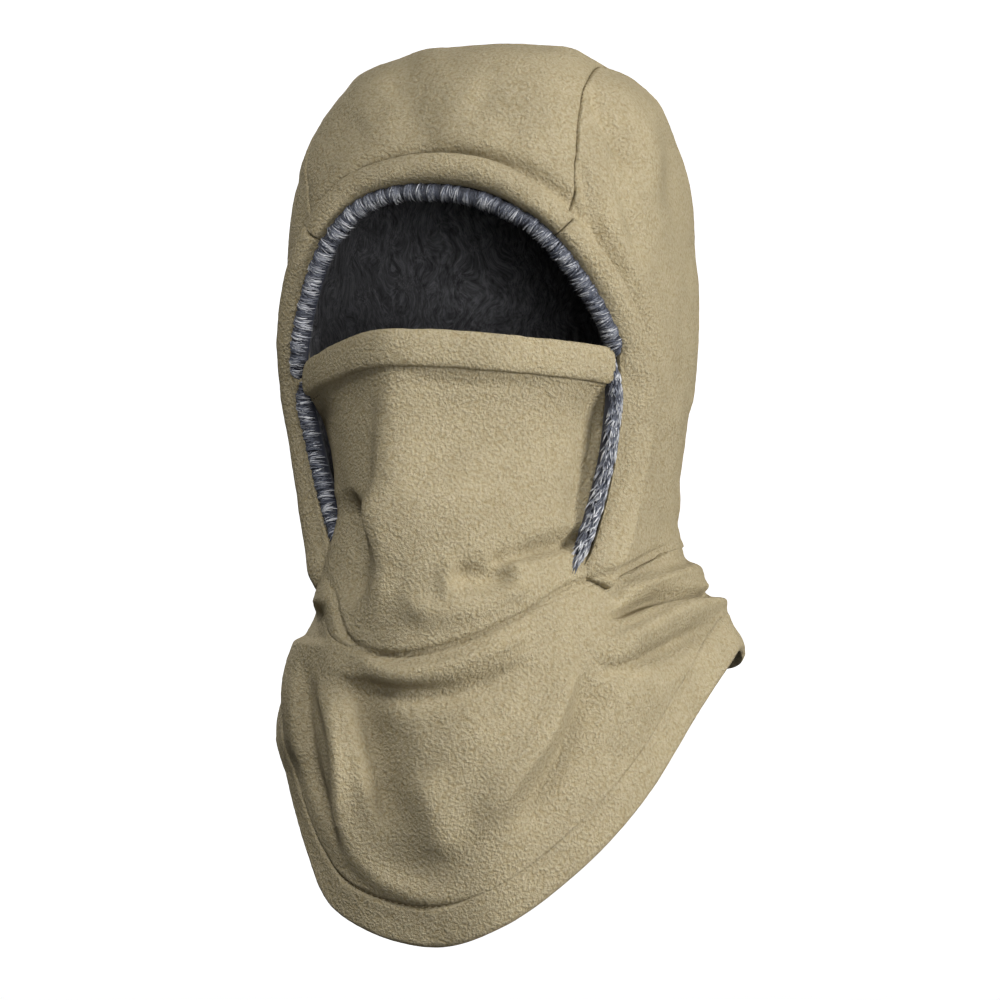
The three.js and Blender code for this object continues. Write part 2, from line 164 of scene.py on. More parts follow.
def onHood(guide, depth=0.0):
    # The point of the outer face in line with a guide point, or that far below it.
    guide = np.asarray(guide, float)
    x, z = guide[..., 0], guide[..., 2]
    rise = hood["crown"] - hood["level"]
    y = guide[..., 1] - leanAt(z)
    acrossReach = reachAt(z, "right", "left", x < 0)
    alongReach = reachAt(z, "face", "nape", y < 0)
    up = np.maximum(z - hood["level"], 0)
    around, over = hood["squareAround"], hood["squareUp"]
    raised = lambda value, power: np.sign(value) * np.abs(value) ** power
    u, v, w = x / acrossReach, y / alongReach, up / rise
    ring = np.maximum(np.abs(u) ** around + np.abs(v) ** around, 1e-12)
    scale = (ring ** (over / around) + w ** over) ** (-1 / over)
    shared = (ring * scale ** around) ** (over / around - 1)
    normal = unit(np.stack([
        shared * raised(u * scale, around - 1) / acrossReach,
        shared * raised(v * scale, around - 1) / alongReach,
        (w * scale) ** (over - 1) / rise,
    ], -1))
    height = np.where(up > 0, hood["level"] + up * scale, z)
    point = np.stack([x * scale, y * scale + leanAt(height), height], -1)
    return point - normal * np.asarray(depth, float)[..., None] if np.ndim(depth) else point - normal * depth


def hoodNormal(point):
    return unit(onHood(point, 0.0) - onHood(point, 1.0))


def mirrored(points):
    return [(-x, y, z) for x, y, z in points]


def turnedFace(point):
    x, y, z = point
    down = min(max((z + 63) / (-200 + 63), 0), 1)
    angle = math.radians(mix(faceTurn["brow"], faceTurn["mouth"], down))
    return (x * math.cos(angle) - y * math.sin(angle), x * math.sin(angle) + y * math.cos(angle), z)


openingHalf = [
    (0, -84, -63), (33, -84, -68), (55, -78, -84), (70, -68, -105), (77, -58, -123),
    (82, -49, -141), (85, -39, -167), (80.5, -40, -199), (73, -48, -228), (68, -56, -246),
]
openingLine = Line([turnedFace(p) for p in mirrored(openingHalf)[::-1] + openingHalf[1:]])
browJoint = 0.357
crownSeamHalf = [
    (67, -50, -38), (61, -15, -10), (58, 20, -4), (59, 60, -22), (61, 90, -60), (62, 100, -112),
    (61, 98, -160), (59, 88, -200),
]


def onSides(x, y, z):
    return tuple(onHood(np.array([x, y, z], float)))


bibEdges = [
    ((0, -107, -286), (8, -90, -399)),
    ((32, -100, -280), (41, -86, -390)),
    ((56, -82, -267), (70, -69, -366)),
    (onSides(73, -54, -256), (91, -42, -334)),
    (onSides(84, -14, -244), (100, 2, -294)),
    (onSides(80, 40, -232), (101, 48, -264)),
    (onSides(57, 82, -228), (82, 98, -268)),
    (onSides(0, 101, -227), (-4, 124, -272)),
    (onSides(-57, 82, -228), (-80, 90, -260)),
    (onSides(-80, 40, -232), (-98, 46, -258)),
    (onSides(-80, -14, -242), (-96, 2, -274)),
    (onSides(-68, -54, -252), (-86, -42, -302)),
    ((-52, -83, -267), (-67, -74, -338)),
    ((-30, -100, -280), (-35, -91, -384)),
]
neckLine = Line([upper for upper, lower in bibEdges], closed=True)
bibHemLine = Line([lower for upper, lower in bibEdges], closed=True)


def openingFrame(share):
    point = onHood(openingLine.along(share))
    out = hoodNormal(point)
    return point, out, unit(np.cross(openingLine.way(share), out))


def besideOpening(share, offset, depth=0.0):
    point, out, across = openingFrame(share)
    return onHood(point + across * np.asarray(offset)[..., None], depth)


# How far the plush edge stands in from its place beside the binding, by its share of the opening's edge.
plushShift = Line([(share, shift, 0) for share, shift in (
    (0, 5.5), (0.1, 5), (0.18, 4), (0.239, 1), (0.302, -1.5), (0.37, -4.3), (0.422, -5), (0.474, -4),
    (0.51, -2.6), (0.552, -2.2), (0.604, -3.5), (0.657, -5), (0.709, -5), (0.761, -2), (0.785, 1.5),
    (0.81, 5), (0.85, 7.4), (0.9, 6), (0.94, 3.4), (1, 0))])


def plushStand(share):
    return np.interp(share, plushShift.dense[:, 0], plushShift.dense[:, 1])


def between(bottom, top, left, right):
    # A smooth surface between four lines: bottom and top run along u, left and right along v.
    corners = [np.array(f(np.array([s]))[0]) for f, s in ((bottom, 0.0), (bottom, 1.0), (top, 0.0), (top, 1.0))]

    def rule(u, v):
        a, b = u[..., None], v[..., None]
        rails = mix(bottom(u), top(u), b) + mix(left(v), right(v), a)
        return rails - mix(mix(corners[0], corners[1], a), mix(corners[2], corners[3], a), b)
    return rule


def cheekShare(side, t):
    return mix(1 - browJoint, 1, t) if side > 0 else mix(browJoint, 0, t)


def bandEdge(side):
    return lambda t: besideOpening(cheekShare(side, t), np.full(np.shape(t), -halfBand))


maskOnNeck = {"left": 0.198, "right": 0.845}
cheekOnNeck = {"left": 0.2435, "right": 0.796}
seamOnNeck = {"left": 0.4286, "right": 0.5714}


def crownSeam(side, name):
    start = bandEdge(side)(np.array([0.0]))[0]
    half = crownSeamHalf if side > 0 else mirrored(crownSeamHalf)
    end = onHood(neckLine.at(np.array([seamOnNeck[name]])))[0]
    return Line([tuple(start), *half, tuple(end)])


seams = {"left": crownSeam(1, "left"), "right": crownSeam(-1, "right")}


def crownRule():
    brow = lambda u: besideOpening(mix(browJoint, 1 - browJoint, u), np.full(np.shape(u), -halfBand))
    nape = lambda u: neckLine.at(mix(seamOnNeck["right"], seamOnNeck["left"], u))
    return between(brow, nape, seams["right"].along, seams["left"].along)


def sideRule(side, name):
    front = bandEdge(side)
    back = seams[name].along
    neck = lambda u: neckLine.at(mix(cheekOnNeck[name], seamOnNeck[name], u))
    first, last = front(np.array([0.0]))[0], back(np.array([0.0]))[0]
    top = lambda u: mix(first, last, u[..., None])
    return between(top, neck, front, back)


# ---- soft randomness in space, the same in each run ----
def lumps(points, size, seed):
    # Smooth bumps from -1 to 1, each about that many millimetres wide.
    table = np.random.default_rng(seed).uniform(-1, 1, 4096)
    place = np.asarray(points) / size + 1000
    cell = np.floor(place).astype(np.int64)
    part = place - cell
    part = part * part * (3 - 2 * part)
    total = np.zeros(place.shape[:-1])
    for dx in (0, 1):
        for dy in (0, 1):
            for dz in (0, 1):
                key = (cell[..., 0] + dx) * 73856093 ^ (cell[..., 1] + dy) * 19349663
                key = (key ^ (cell[..., 2] + dz) * 83492791) & 0x7FFFFFFF
                key = (key ^ (key >> 13)) * 1274126177 & 0x7FFFFFFF
                weight = np.abs(1 - dx - part[..., 0]) * np.abs(1 - dy - part[..., 1])
                total += table[(key >> 7) % 4096] * weight * np.abs(1 - dz - part[..., 2])
    return total


# ---- how the worn cloth falls ----
# Each fold: the line it runs along, as seen from the front left, its height in millimetres, and its
# width to the left and to the right of that line.
# FOLDS-BEGIN
hoodFolds = [
    ([(-48, 212.9), (-14.4, 218.7), (19.2, 217.7), (48, 210.1)], 3.2, 14.4, 28.8),  # fuller crown
    ([(19.2, 217.7), (43.2, 212.9), (60, 204.3), (71.9, 189.9),
      (82.5, 167.9)], 4.2, 10.6, 7.7),  # swell behind the crown seam
    ([(41.7, 200.5), (48, 189), (54.7, 177.5), (62.4, 163.1),
      (68.1, 146.8)], -6.5, 3.8, 3.4),  # fold from the crown seam
    ([(48, 203.4), (59.5, 189.9), (68.6, 174.6), (74.3, 159.2),
      (78.2, 141.5)], 4.2, 5.8, 4.3),  # ridge behind it
    ([(74.3, 167.9), (82.5, 148.7), (91.1, 124.7), (93, 100.7)], -2.4, 5.8, 4.8),
    ([(50.8, 172.7), (59.5, 150.6), (65.7, 128.5), (71, 107.4)], -3.4, 4.3, 3.8),
    ([(37.4, 167.9), (41.2, 148.7), (48, 131.4), (56.6, 116.1)], -2.4, 3.8, 2.4),  # pull beside the binding
    ([(74.3, 50.4), (71.9, 24), (65.2, -4.8), (58.5, -21.6)], -2, 6.7, 3.8),
    ([(82.5, 48), (85.4, 28.8), (82.5, 4.8), (77.7, -12)], 2.2, 6.7, 5.8),
    ([(95.9, 48), (91.1, 24), (84.4, -4.8)], -3.2, 8.6, 5.8),  # drawn in above the neck
    ([(76.7, -26.9), (84.4, -22.1), (91.1, -15.3)], 4.5, 4.8, 5.8),  # swell onto the bib
    ([(-95.9, 158.3), (-94.5, 143.9), (-95, 124.7)], -1.2, 3.8, 3.8),
    ([(-14.4, 196.6), (2.4, 182.3), (7.2, 164)], -1.6, 10.6, 10.6),
    ([(-48, 187.1), (-38.4, 177.5), (-33.6, 167.9)], -1.2, 8.6, 10.6),
    ([(-74.3, 182.3), (-64.7, 191.8), (-48, 199)], 1.2, 9.6, 10.6),
    ([(-86.3, 167.9), (-74.3, 177.5), (-62.4, 182.3)], -1.2, 6.7, 6.7),
    ([(-76.7, 195.7), (-51.8, 210.1), (-24, 215.8)], 2.4, 11.5, 11.5),
]
maskFolds = [
    ([(-51.8, 66.2), (-53.2, 38.4), (-54.7, 9.6), (-58.5, -14.4),
      (-61.4, -33.6)], 6, 16.3, 5.8),  # nose ridge
    ([(-74.8, 6.7), (-70, -9.6), (-67.6, -24.9), (-69.5, -40.8),
      (-74.3, -53.7)], -9.5, 3.4, 10.6),  # hollow beside the chin
    ([(-64.3, 9.6), (-59.5, -9.6), (-56.6, -28.8), (-60.4, -48), (-68.1, -60)], 3.2, 6.7, 2.9),  # its edge
    ([(-24, -33.6), (-7.7, -37.4), (8.6, -35)], -6, 6.2, 5.3),  # dimple
    ([(-7.7, -30.2), (9.6, -26.9), (26.9, -23.5), (52.8, -16.3)], -7, 6.2, 2.4),  # crease beside the plush
    ([(3.4, -19.2), (7.7, -32.1), (5.8, -50.4)], 2.8, 6.7, 6.2),
    ([(-23, -24.9), (-25.9, -38.4), (-23, -50.8)], 2, 4.3, 4.8),
    ([(-50.4, -46), (-33.6, -53.7), (-9.6, -50.8),
      (19.2, -39.3)], 3.4, 6.7, 6.7),  # roll over the neck seam
    ([(48.9, 58.5), (45.1, 28.8), (39.3, 0), (31.7, -21.6)], -3.2, 3.8, 8.6),  # along the plush
    ([(-87.3, 51.8), (-83.9, 33.6), (-80.6, 9.6), (-77.7, -9.6)], -2.2, 6.7, 3.8),
    ([(-33.6, 14.4), (-14.4, -9.6), (0, -19.2)], 1.4, 12.5, 12.5),
    ([(-48, 57.6), (-14.4, 55.6), (28.8, 55.6)], -0.8, 2.9, 3.4),
]
bibFolds = [
    ([(49.9, -56.6), (58.5, -53.2), (68.1, -48.9), (77.7, -45.1), (91.1, -43.2),
      (110.3, -44.1), (127.1, -48)], -9.5, 1.2, 2.9),  # deep crease under the left ear
    ([(55.6, -47), (70, -41.7), (86.3, -36.9), (103.6, -33.6)], 5, 4.8, 3.4),  # roll above it
    ([(48, -64.3), (57.6, -66.2), (70, -61.4), (86.3, -52.8), (105.5, -49.4),
      (124.7, -53.7)], 5, 3.8, 6.7),  # puffed roll
    ([(42.2, -76.7), (54.7, -80.6), (71.9, -75.3), (91.1, -65.2), (106.5, -58.5)], -5, 3.8, 5.8),
    ([(43.2, -78.7), (41.2, -95.9), (33.6, -116.1), (21.1, -139.1),
      (6.7, -160.7)], -7.5, 10.6, 4.3),  # hollow beside the long ridge
    ([(35.5, -71), (31.7, -91.1), (21.6, -114.1), (5.8, -136.2),
      (-11.5, -164)], 6.5, 4.3, 11.5),  # long bright ridge
    ([(95.9, -79.1), (81.5, -95.9), (67.1, -112.7), (49.9, -131.9)], -1.6, 8.6, 7.7),  # diagonal hollow
    ([(-71.9, -73.9), (-56.6, -83), (-33.6, -81.5), (-8.6, -73.9),
      (19.2, -60.4)], 3.6, 3.8, 4.3),  # roll under the chin
    ([(-76.7, -84.4), (-56.6, -92.1), (-33.6, -92.6), (-10.6, -88.2),
      (19.2, -76.7)], -6.5, 3.8, 6.7),  # hollow under it
    ([(-77.7, -80.6), (-71, -98.8), (-64.3, -118.9), (-59.5, -139.1),
      (-51.8, -165)], -8.5, 11.5, 3.4),  # long dark fold
    ([(-87.3, -78.7), (-81.5, -98.8), (-77.7, -119.9), (-75.8, -143.9), (-71, -165.9)], 4.4, 3.8, 3.8),
    ([(-94.5, -74.3), (-95.4, -98.8), (-92.1, -129.5), (-85.4, -150.6),
      (-73.9, -173.6)], -5, 4.8, 2.4),  # hollow above the hem
    ([(-95.9, -80.6), (-97.8, -105.5), (-94, -134.3)], 1.8, 2.9, 3.8),
    ([(-81.5, -139.1), (-71, -165.9), (-55.6, -182.3), (-33.6, -189.9),
      (-15.3, -184.2)], 3.4, 6.7, 5.8),  # panel swelling over its hem
    ([(-39.3, -129.5), (-30.7, -153.5), (-24, -175.5)], 4, 10.6, 10.6),  # front bulge
    ([(-48, -115.1), (-28.8, -116.1), (0, -105.5)], 1.8, 9.6, 9.6),
    ([(-95.9, -49.9), (-93.5, -58.5), (-95, -69.1)], -7, 8.6, 6.7),
    ([(57.6, -124.7), (76.7, -95.9), (95.9, -71.9)], 2.2, 6.7, 7.7),
    ([(106.5, -50.8), (117, -59.5), (120.9, -71.9)], 2.4, 10.6, 10.6),  # lifted corner
    ([(-107.4, -115.1), (-97.8, -158.3), (-78.7, -194.2)], -3, 10.6, 10.6),
]
seamFolds = [
    ([(-87.3, -28.8), (-81.5, -44.1), (-73.9, -66.2), (-55.2, -74.3), (-28.8, -71), (5.8, -58),
      (36.5, -40.3), (50.4, -36)], -3.2, 1.5, 1.5),  # the neck seam
    ([(19.2, -48.9), (36.5, -40.3), (50.4, -36), (62.8, -31.7), (74.3, -25.4),
      (91.1, -13.4)], -2.6, 1.5, 1.5),
]
bandFolds = [
    ([(-87.3, 136.7), (-80.6, 146.3), (-61.9, 159.2), (-33.6, 166.4), (0, 163.1),
      (28.8, 147.2), (51.3, 122.3), (65.2, 98.8), (70.5, 78.2), (72.4, 52.8), (69.5, 12),
      (59, -19.2), (46, -67.1)], -4.8, 4.3, 2.4),  # the hood dips beside its band
    ([(41.2, 131.9), (51.3, 121.3), (61.4, 104.6), (67.6, 90.2), (71.9, 71.9), (73.9, 52.8),
      (72.9, 33.6), (70.5, 12), (65.7, -7.2),
      (58.5, -23)], -2.5, 3.8, 2.4),  # deeper on the wearer's left
]
# FOLDS-END


hoodAndBib, maskAndBib = hoodFolds + bibFolds + seamFolds, maskFolds + bibFolds + seamFolds
allFolds = hoodFolds + maskFolds + bibFolds + seamFolds


def foldHeight(points, normals, folds):
    facing = smooth(normals @ np.array(viewBack), -0.35, 0.15)
    flat = asSeen(points).reshape(-1, 2)
    total = np.zeros(len(flat))
    for line, height, leftWide, rightWide in folds:
        path = Line([(x, y, 0) for x, y in line]).along(np.linspace(0, 1, 25))[:, :2]
        near = np.all((flat > path.min(0) - 3.2 * max(leftWide, rightWide))
                      & (flat < path.max(0) + 3.2 * max(leftWide, rightWide)), axis=1)
        spot = flat[near]
        if not len(spot):
            continue
        start, run = path[:-1], np.diff(path, axis=0)
        offset = spot[:, None, :] - start[None]
        share = np.clip(np.sum(offset * run, -1) / np.maximum(np.sum(run * run, -1), 1e-9), 0, 1)
        gap = offset - share[..., None] * run
        distance = np.linalg.norm(gap, axis=-1)
        nearest = distance.argmin(1)
        rows = np.arange(len(spot))
        turn = run[nearest, 0] * gap[rows, nearest, 1] - run[nearest, 1] * gap[rows, nearest, 0]
        wide = np.where(turn > 0, leftWide, rightWide)
        reach = distance[rows, nearest] / wide
        progress = (nearest + share[rows, nearest]) / (len(path) - 1)
        fade = smooth(progress, -0.02, 0.22) * smooth(1 - progress, -0.02, 0.3)
        total[near] += height * np.exp(-reach ** 2) * fade
    return total.reshape(points.shape[:-1]) * facing


# ---- making cloth from a grid of points ----
def gridNormals(points, ring=False, flip=False):
    if ring:
        wide = np.concatenate([points[:, -1:], points, points[:, :1]], 1)
        alongU = wide[:, 2:] - wide[:, :-2]
    else:
        alongU = np.gradient(points, axis=1)
    normal = unit(np.cross(alongU, np.gradient(points, axis=0)))
    return -normal if flip else normal


def outwardNormals(points, ring=False):
    normal = gridNormals(points, ring)
    out = points - np.array([0, 10, 0])
    out[..., 2] = np.maximum(points[..., 2] + 112, 0)
    return normal if np.mean(np.sum(normal * out, -1)) > 0 else -normal


def meshPiece(name, points, faces, material, smoothFaces=True):
    mesh = bpy.data.meshes.new(name)
    faces = np.asarray(faces, np.int32)
    corners = faces.shape[1]
    mesh.vertices.add(len(points))
    mesh.vertices.foreach_set("co", (np.asarray(points, float) * mm).astype(np.float32).ravel())
    mesh.loops.add(faces.size)
    mesh.loops.foreach_set("vertex_index", faces.ravel())
    mesh.polygons.add(len(faces))
    mesh.polygons.foreach_set("loop_start", np.arange(0, faces.size, corners, dtype=np.int32))
    mesh.update(calc_edges=True)
    mesh.validate()
    mesh.polygons.foreach_set("use_smooth", np.full(len(mesh.polygons), smoothFaces))
    mesh.materials.append(material)
    piece = bpy.data.objects.new(name, mesh)
    bpy.context.scene.collection.objects.link(piece)
    return piece


def signedVolume(points, faces):
    total = 0.0
    for k in range(1, faces.shape[1] - 1):
        a, b, c = points[faces[:, 0]], points[faces[:, k]], points[faces[:, k + 1]]
        total += np.sum(a * np.cross(b, c))
    return total


def shellFaces(rows, columns, ring):
    # Closed faces for two grids of points, one behind the other.
    count = rows * columns
    number = np.arange(count).reshape(rows, columns)
    if ring:
        number = np.concatenate([number, number[:, :1]], 1)
    front = np.stack([number[:-1, :-1], number[:-1, 1:], number[1:, 1:], number[1:, :-1]], -1).reshape(-1, 4)
    back = front[:, ::-1] + count
    walls = [
        np.stack([number[0, 1:], number[0, :-1], number[0, :-1] + count, number[0, 1:] + count], -1),
        np.stack([number[-1, :-1], number[-1, 1:], number[-1, 1:] + count, number[-1, :-1] + count], -1),
    ]
    if not ring:
        walls += [
            np.stack([number[:-1, 0], number[1:, 0], number[1:, 0] + count, number[:-1, 0] + count], -1),
            np.stack([number[1:, -1], number[:-1, -1], number[:-1, -1] + count, number[1:, -1] + count], -1),
        ]
    return np.concatenate([front, back, *walls])


def edgeFall(points, edges, ring):
    # How far the face drops towards each edge: edges give (drop, radius) for left, right, top, bottom.
    down = np.zeros(points.shape[:2])
    stepsU = np.linalg.norm(np.diff(points, axis=1), axis=-1)
    stepsV = np.linalg.norm(np.diff(points, axis=0), axis=-1)
    fromLeft = np.concatenate([np.zeros((points.shape[0], 1)), np.cumsum(stepsU, 1)], 1)
    fromTop = np.concatenate([np.zeros((1, points.shape[1])), np.cumsum(stepsV, 0)], 0)
    distances = {
        "left": fromLeft, "right": fromLeft[:, -1:] - fromLeft,
        "top": fromTop, "bottom": fromTop[-1:] - fromTop,
    }
    for side, (drop, radius) in edges.items():
        if ring and side in ("left", "right"):
            continue
        near = np.clip(1 - distances[side] / radius, 0, 1)
        down += drop * (1 - np.sqrt(np.maximum(1 - near ** 2, 0)))
    return down


def clothShell(name, points, normals, top, bottom, edges, material, pile=0.0, inside=0.0, ring=False, seed=1):
    # Cloth from the height top to the height bottom along the normals, rounded over at its edges.
    relief = np.zeros(points.shape[:2])
    if pile:
        relief += pile * (lumps(points, 3.1, seed) * 0.6 + lumps(points, 1.7, seed + 1) * 0.5)
    under = np.zeros(points.shape[:2])
    if inside:
        under += inside * (lumps(points, 3.4, seed + 2) * 0.6 + lumps(points, 1.9, seed + 3) * 0.5)
    fall = edgeFall(points, edges, ring)
    outer = points + normals * (top + relief - fall)[..., None]
    lift = np.minimum(fall * 0.25, abs(top - bottom) * 0.3)
    inner = points + normals * (bottom + under + lift)[..., None]
    rows, columns = points.shape[:2]
    corners = np.concatenate([outer.reshape(-1, 3), inner.reshape(-1, 3)])
    faces = shellFaces(rows, columns, ring)
    if signedVolume(corners, faces) < 0:
        faces = faces[:, ::-1]
    return meshPiece(name, corners, faces, material)


def tubeFaces(rings, sides, closed):
    number = np.arange(rings * sides).reshape(rings, sides)
    if closed:
        number = np.concatenate([number, number[:1]], 0)
    turned = np.concatenate([number[:, 1:], number[:, :1]], 1)
    return np.stack([number[:-1], turned[:-1], turned[1:], number[1:]], -1).reshape(-1, 4)


def tube(centres, xs, ys, outlines, closed=False):
    # Points and faces of a rod whose section, (rings, sides, 2), may change along it.
    rings, sides = outlines.shape[:2]
    points = (centres[:, None] + xs[:, None] * outlines[..., :1] + ys[:, None] * outlines[..., 1:]).reshape(-1, 3)
    faces = tubeFaces(rings, sides, closed)
    if not closed:  # each end is closed by a fan round its middle
        first, last = len(points), len(points) + 1
        points = np.concatenate([points, [points[:sides].mean(0)], [points[-sides:].mean(0)]])
        ring = np.arange(sides)
        turned = np.roll(ring, -1)
        base = (rings - 1) * sides
        capA = np.stack([turned, ring, np.full(sides, first), np.full(sides, first)], -1)
        capB = np.stack([base + ring, base + turned, np.full(sides, last), np.full(sides, last)], -1)
        faces = [faces, capA, capB]
        quads, fans = faces[0], np.concatenate(faces[1:])[:, :3]
        return points, quads, fans
    return points, faces, np.zeros((0, 3), int)


def tubePiece(name, centres, xs, ys, outlines, material, closed=False):
    points, quads, fans = tube(centres, xs, ys, outlines, closed)
    triangles = np.concatenate([quads[:, [0, 1, 2]], quads[:, [0, 2, 3]], fans])
    if signedVolume(points, triangles) < 0:
        triangles = triangles[:, ::-1]
    return meshPiece(name, points, triangles, material)


def ovalOutline(halfX, halfY, sides, power=2.0, shift=0.0):
    turn = 2 * np.pi * np.arange(sides) / sides
    bend = lambda value: np.sign(value) * np.abs(value) ** (2 / power)
    return np.stack([halfX * bend(np.cos(turn)), shift + halfY * bend(np.sin(turn))], -1)


def roundedEnds(count, length, radius):
    # How much a rod's section shrinks towards its two ends.
    place = np.linspace(0, length, count)
    near = np.clip(1 - np.minimum(place, length - place) / radius, 0, 1)
    return np.sqrt(np.maximum(1 - near ** 2, 0.02))


# ---- materials ----
def linear(code):
    values = [int(code[k:k + 2], 16) / 255 for k in (1, 3, 5)]
    return tuple(v / 12.92 if v <= 0.04045 else ((v + 0.055) / 1.055) ** 2.4 for v in values) + (1.0,)


def addNode(tree, kind, settings=None, links=None):
    node = tree.nodes.new(kind)
    for key, value in (settings or {}).items():
        if isinstance(key, str) and hasattr(node, key):
            setattr(node, key, value)
        else:
            node.inputs[key].default_value = value
    for key, source in (links or {}).items():
        tree.links.new(source, node.inputs[key])
    return node


def newMaterial(name):
    material = bpy.data.materials.new(name)
    material.use_nodes = True
    tree = material.node_tree
    tree.nodes.clear()
    return material, tree


def ramp(tree, source, stops):
    node = addNode(tree, "ShaderNodeValToRGB", {}, {"Fac": source})
    elements = node.color_ramp.elements
    while len(elements) < len(stops):
        elements.new(0.5)
    for element, (place, colour) in zip(elements, stops):
        element.position = place
        element.color = colour
    return node.outputs["Color"]


def fleeceMaterial(name, settings):
    # Knitted polyester, brushed and tumbled until its pile balls up: matt, pebbled, lighter on each ball: painted
    # light on the balls and painted shade in the gaps between them.
    material, tree = newMaterial(name)
    place = addNode(tree, "ShaderNodeTexCoord").outputs["Object"]
    drift = addNode(tree, "ShaderNodeTexNoise", {"Scale": 1 / settings["drift"], "Detail": 2.0}, {"Vector": place})
    pushed = addNode(tree, "ShaderNodeVectorMath", {"operation": "MULTIPLY_ADD", 1: (settings["push"],) * 3},
                     {0: drift.outputs["Color"], 2: place})
    balls = addNode(tree, "ShaderNodeTexVoronoi", {"feature": "SMOOTH_F1", "Scale": 1 / settings["ball"],
                                                   "Smoothness": 0.6}, {"Vector": pushed.outputs[0]})
    fibres = addNode(tree, "ShaderNodeTexNoise", {"Scale": 1 / settings["fibre"], "Detail": 3.0,
                                                  "Roughness": 0.65}, {"Vector": place})
    tuft = addNode(tree, "ShaderNodeTexNoise", {"Scale": 1 / settings["tuft"], "Detail": 3.0,
                                                "Roughness": 0.6}, {"Vector": place})
    patches = addNode(tree, "ShaderNodeTexNoise", {"Scale": 1 / settings["patch"], "Detail": 2.0},
                      {"Vector": place})
    raised = addNode(tree, "ShaderNodeMapRange", {"From Min": 0.0, "From Max": 0.75, "To Min": 1.0, "To Max": 0.0},
                     {"Value": balls.outputs["Distance"]})
    mixed = addNode(tree, "ShaderNodeMix", {"data_type": "FLOAT", 0: 0.72},
                    {2: raised.outputs[0], 3: tuft.outputs["Fac"]})
    height = addNode(tree, "ShaderNodeMix", {"data_type": "FLOAT", 0: 0.25},
                     {2: mixed.outputs[0], 3: fibres.outputs["Fac"]})
    # Painted shade and light: the colour darkens to gap in the hollows between pile balls and lightens to tip on their
    # tops.
    shade = ramp(tree, height.outputs[0], [
        (0.25, linear(settings["gap"])), (0.5, linear(settings["body"])), (0.72, linear(settings["tip"]))])
    level = addNode(tree, "ShaderNodeMapRange", {"From Min": 0.35, "From Max": 0.65,
                                                 "To Min": 1 - settings["uneven"], "To Max": 1 + settings["uneven"]},
                    {"Value": patches.outputs["Fac"]})
    colour = addNode(tree, "ShaderNodeMix", {"data_type": "RGBA", "blend_type": "MULTIPLY", 0: 1.0})
    tree.links.new(shade, colour.inputs[6])
    grey = addNode(tree, "ShaderNodeCombineColor", {}, {"Red": level.outputs[0], "Green": level.outputs[0],
                                                        "Blue": level.outputs[0]})
    tree.links.new(grey.outputs[0], colour.inputs[7])
    bump = addNode(tree, "ShaderNodeBump", {"Strength": settings["strength"], "Distance": settings["depth"]},
                   {"Height": height.outputs[0]})
    shader = addNode(tree, "ShaderNodeBsdfPrincipled", {
        "Roughness": 0.96, "IOR": 1.45, "Specular IOR Level": 0.12, "Sheen Weight": settings["sheen"],
        "Sheen Roughness": 0.55, "Sheen Tint": linear(settings["sheenTint"]),
    }, {"Base Color": colour.outputs[2], "Normal": bump.outputs[0]})
    addNode(tree, "ShaderNodeOutputMaterial", {}, {"Surface": shader.outputs[0]})
    return material


def plushMaterial(name, settings):
    # Long-pile polyester plush, brushed one way and then rumpled: dark, with painted soft highlights where the pile
    # turns and painted shade down at its roots.
    material, tree = newMaterial(name)
    place = addNode(tree, "ShaderNodeTexCoord").outputs["Object"]
    swirl = addNode(tree, "ShaderNodeTexNoise", {"Scale": 1 / settings["swirl"], "Detail": 1.5}, {"Vector": place})
    turned = addNode(tree, "ShaderNodeVectorMath", {"operation": "MULTIPLY_ADD", 1: (settings["turn"],) * 3},
                     {0: swirl.outputs["Color"], 2: place})
    combed = addNode(tree, "ShaderNodeMapping", {"Scale": (1.0, 0.8, 0.22)}, {"Vector": turned.outputs[0]})
    hairs = addNode(tree, "ShaderNodeTexNoise", {"Scale": 1 / settings["hair"], "Detail": 4.0, "Roughness": 0.62},
                    {"Vector": combed.outputs[0]})
    clumps = addNode(tree, "ShaderNodeTexNoise", {"Scale": 1 / settings["clump"], "Detail": 2.0},
                     {"Vector": combed.outputs[0]})
    height = addNode(tree, "ShaderNodeMix", {"data_type": "FLOAT", 0: 0.4},
                     {2: hairs.outputs["Fac"], 3: clumps.outputs["Fac"]})
    # Painted shade and highlight: the colour is darker where the pile's height is low and lighter where it is high.
    colour = ramp(tree, height.outputs[0], [
        (0.36, linear(settings["root"])), (0.5, linear(settings["body"])), (0.64, linear(settings["tip"]))])
    bump = addNode(tree, "ShaderNodeBump", {"Strength": 0.9, "Distance": settings["depth"]},
                   {"Height": height.outputs[0]})
    shader = addNode(tree, "ShaderNodeBsdfPrincipled", {
        "Roughness": 0.75, "IOR": 1.5, "Specular IOR Level": 0.25, "Sheen Weight": 0.25,
        "Sheen Roughness": 0.4, "Sheen Tint": linear("#8a8a8c"),
    }, {"Base Color": colour, "Normal": bump.outputs[0]})
    addNode(tree, "ShaderNodeOutputMaterial", {}, {"Surface": shader.outputs[0]})
    return material


def furMaterial(name, settings):
    # Plush fibre dyed dark with bleached tips, with painted highlight laid on them: the tip attribute goes from 0 at a
    # root to 1 at a tip, and is raised where locks arch over the roll and where they gather.
    material, tree = newMaterial(name)
    tip = addNode(tree, "ShaderNodeAttribute", {"attribute_name": "tip"})
    colour = ramp(tree, tip.outputs["Fac"], [
        (0.0, linear(settings["root"])), (0.42, linear(settings["body"])), (0.95, linear(settings["tip"]))])
    shader = addNode(tree, "ShaderNodeBsdfPrincipled", {
        "Roughness": 0.5, "IOR": 1.5, "Specular IOR Level": 0.4, "Sheen Weight": 0.1,
    }, {"Base Color": colour})
    addNode(tree, "ShaderNodeOutputMaterial", {}, {"Surface": shader.outputs[0]})
    return material


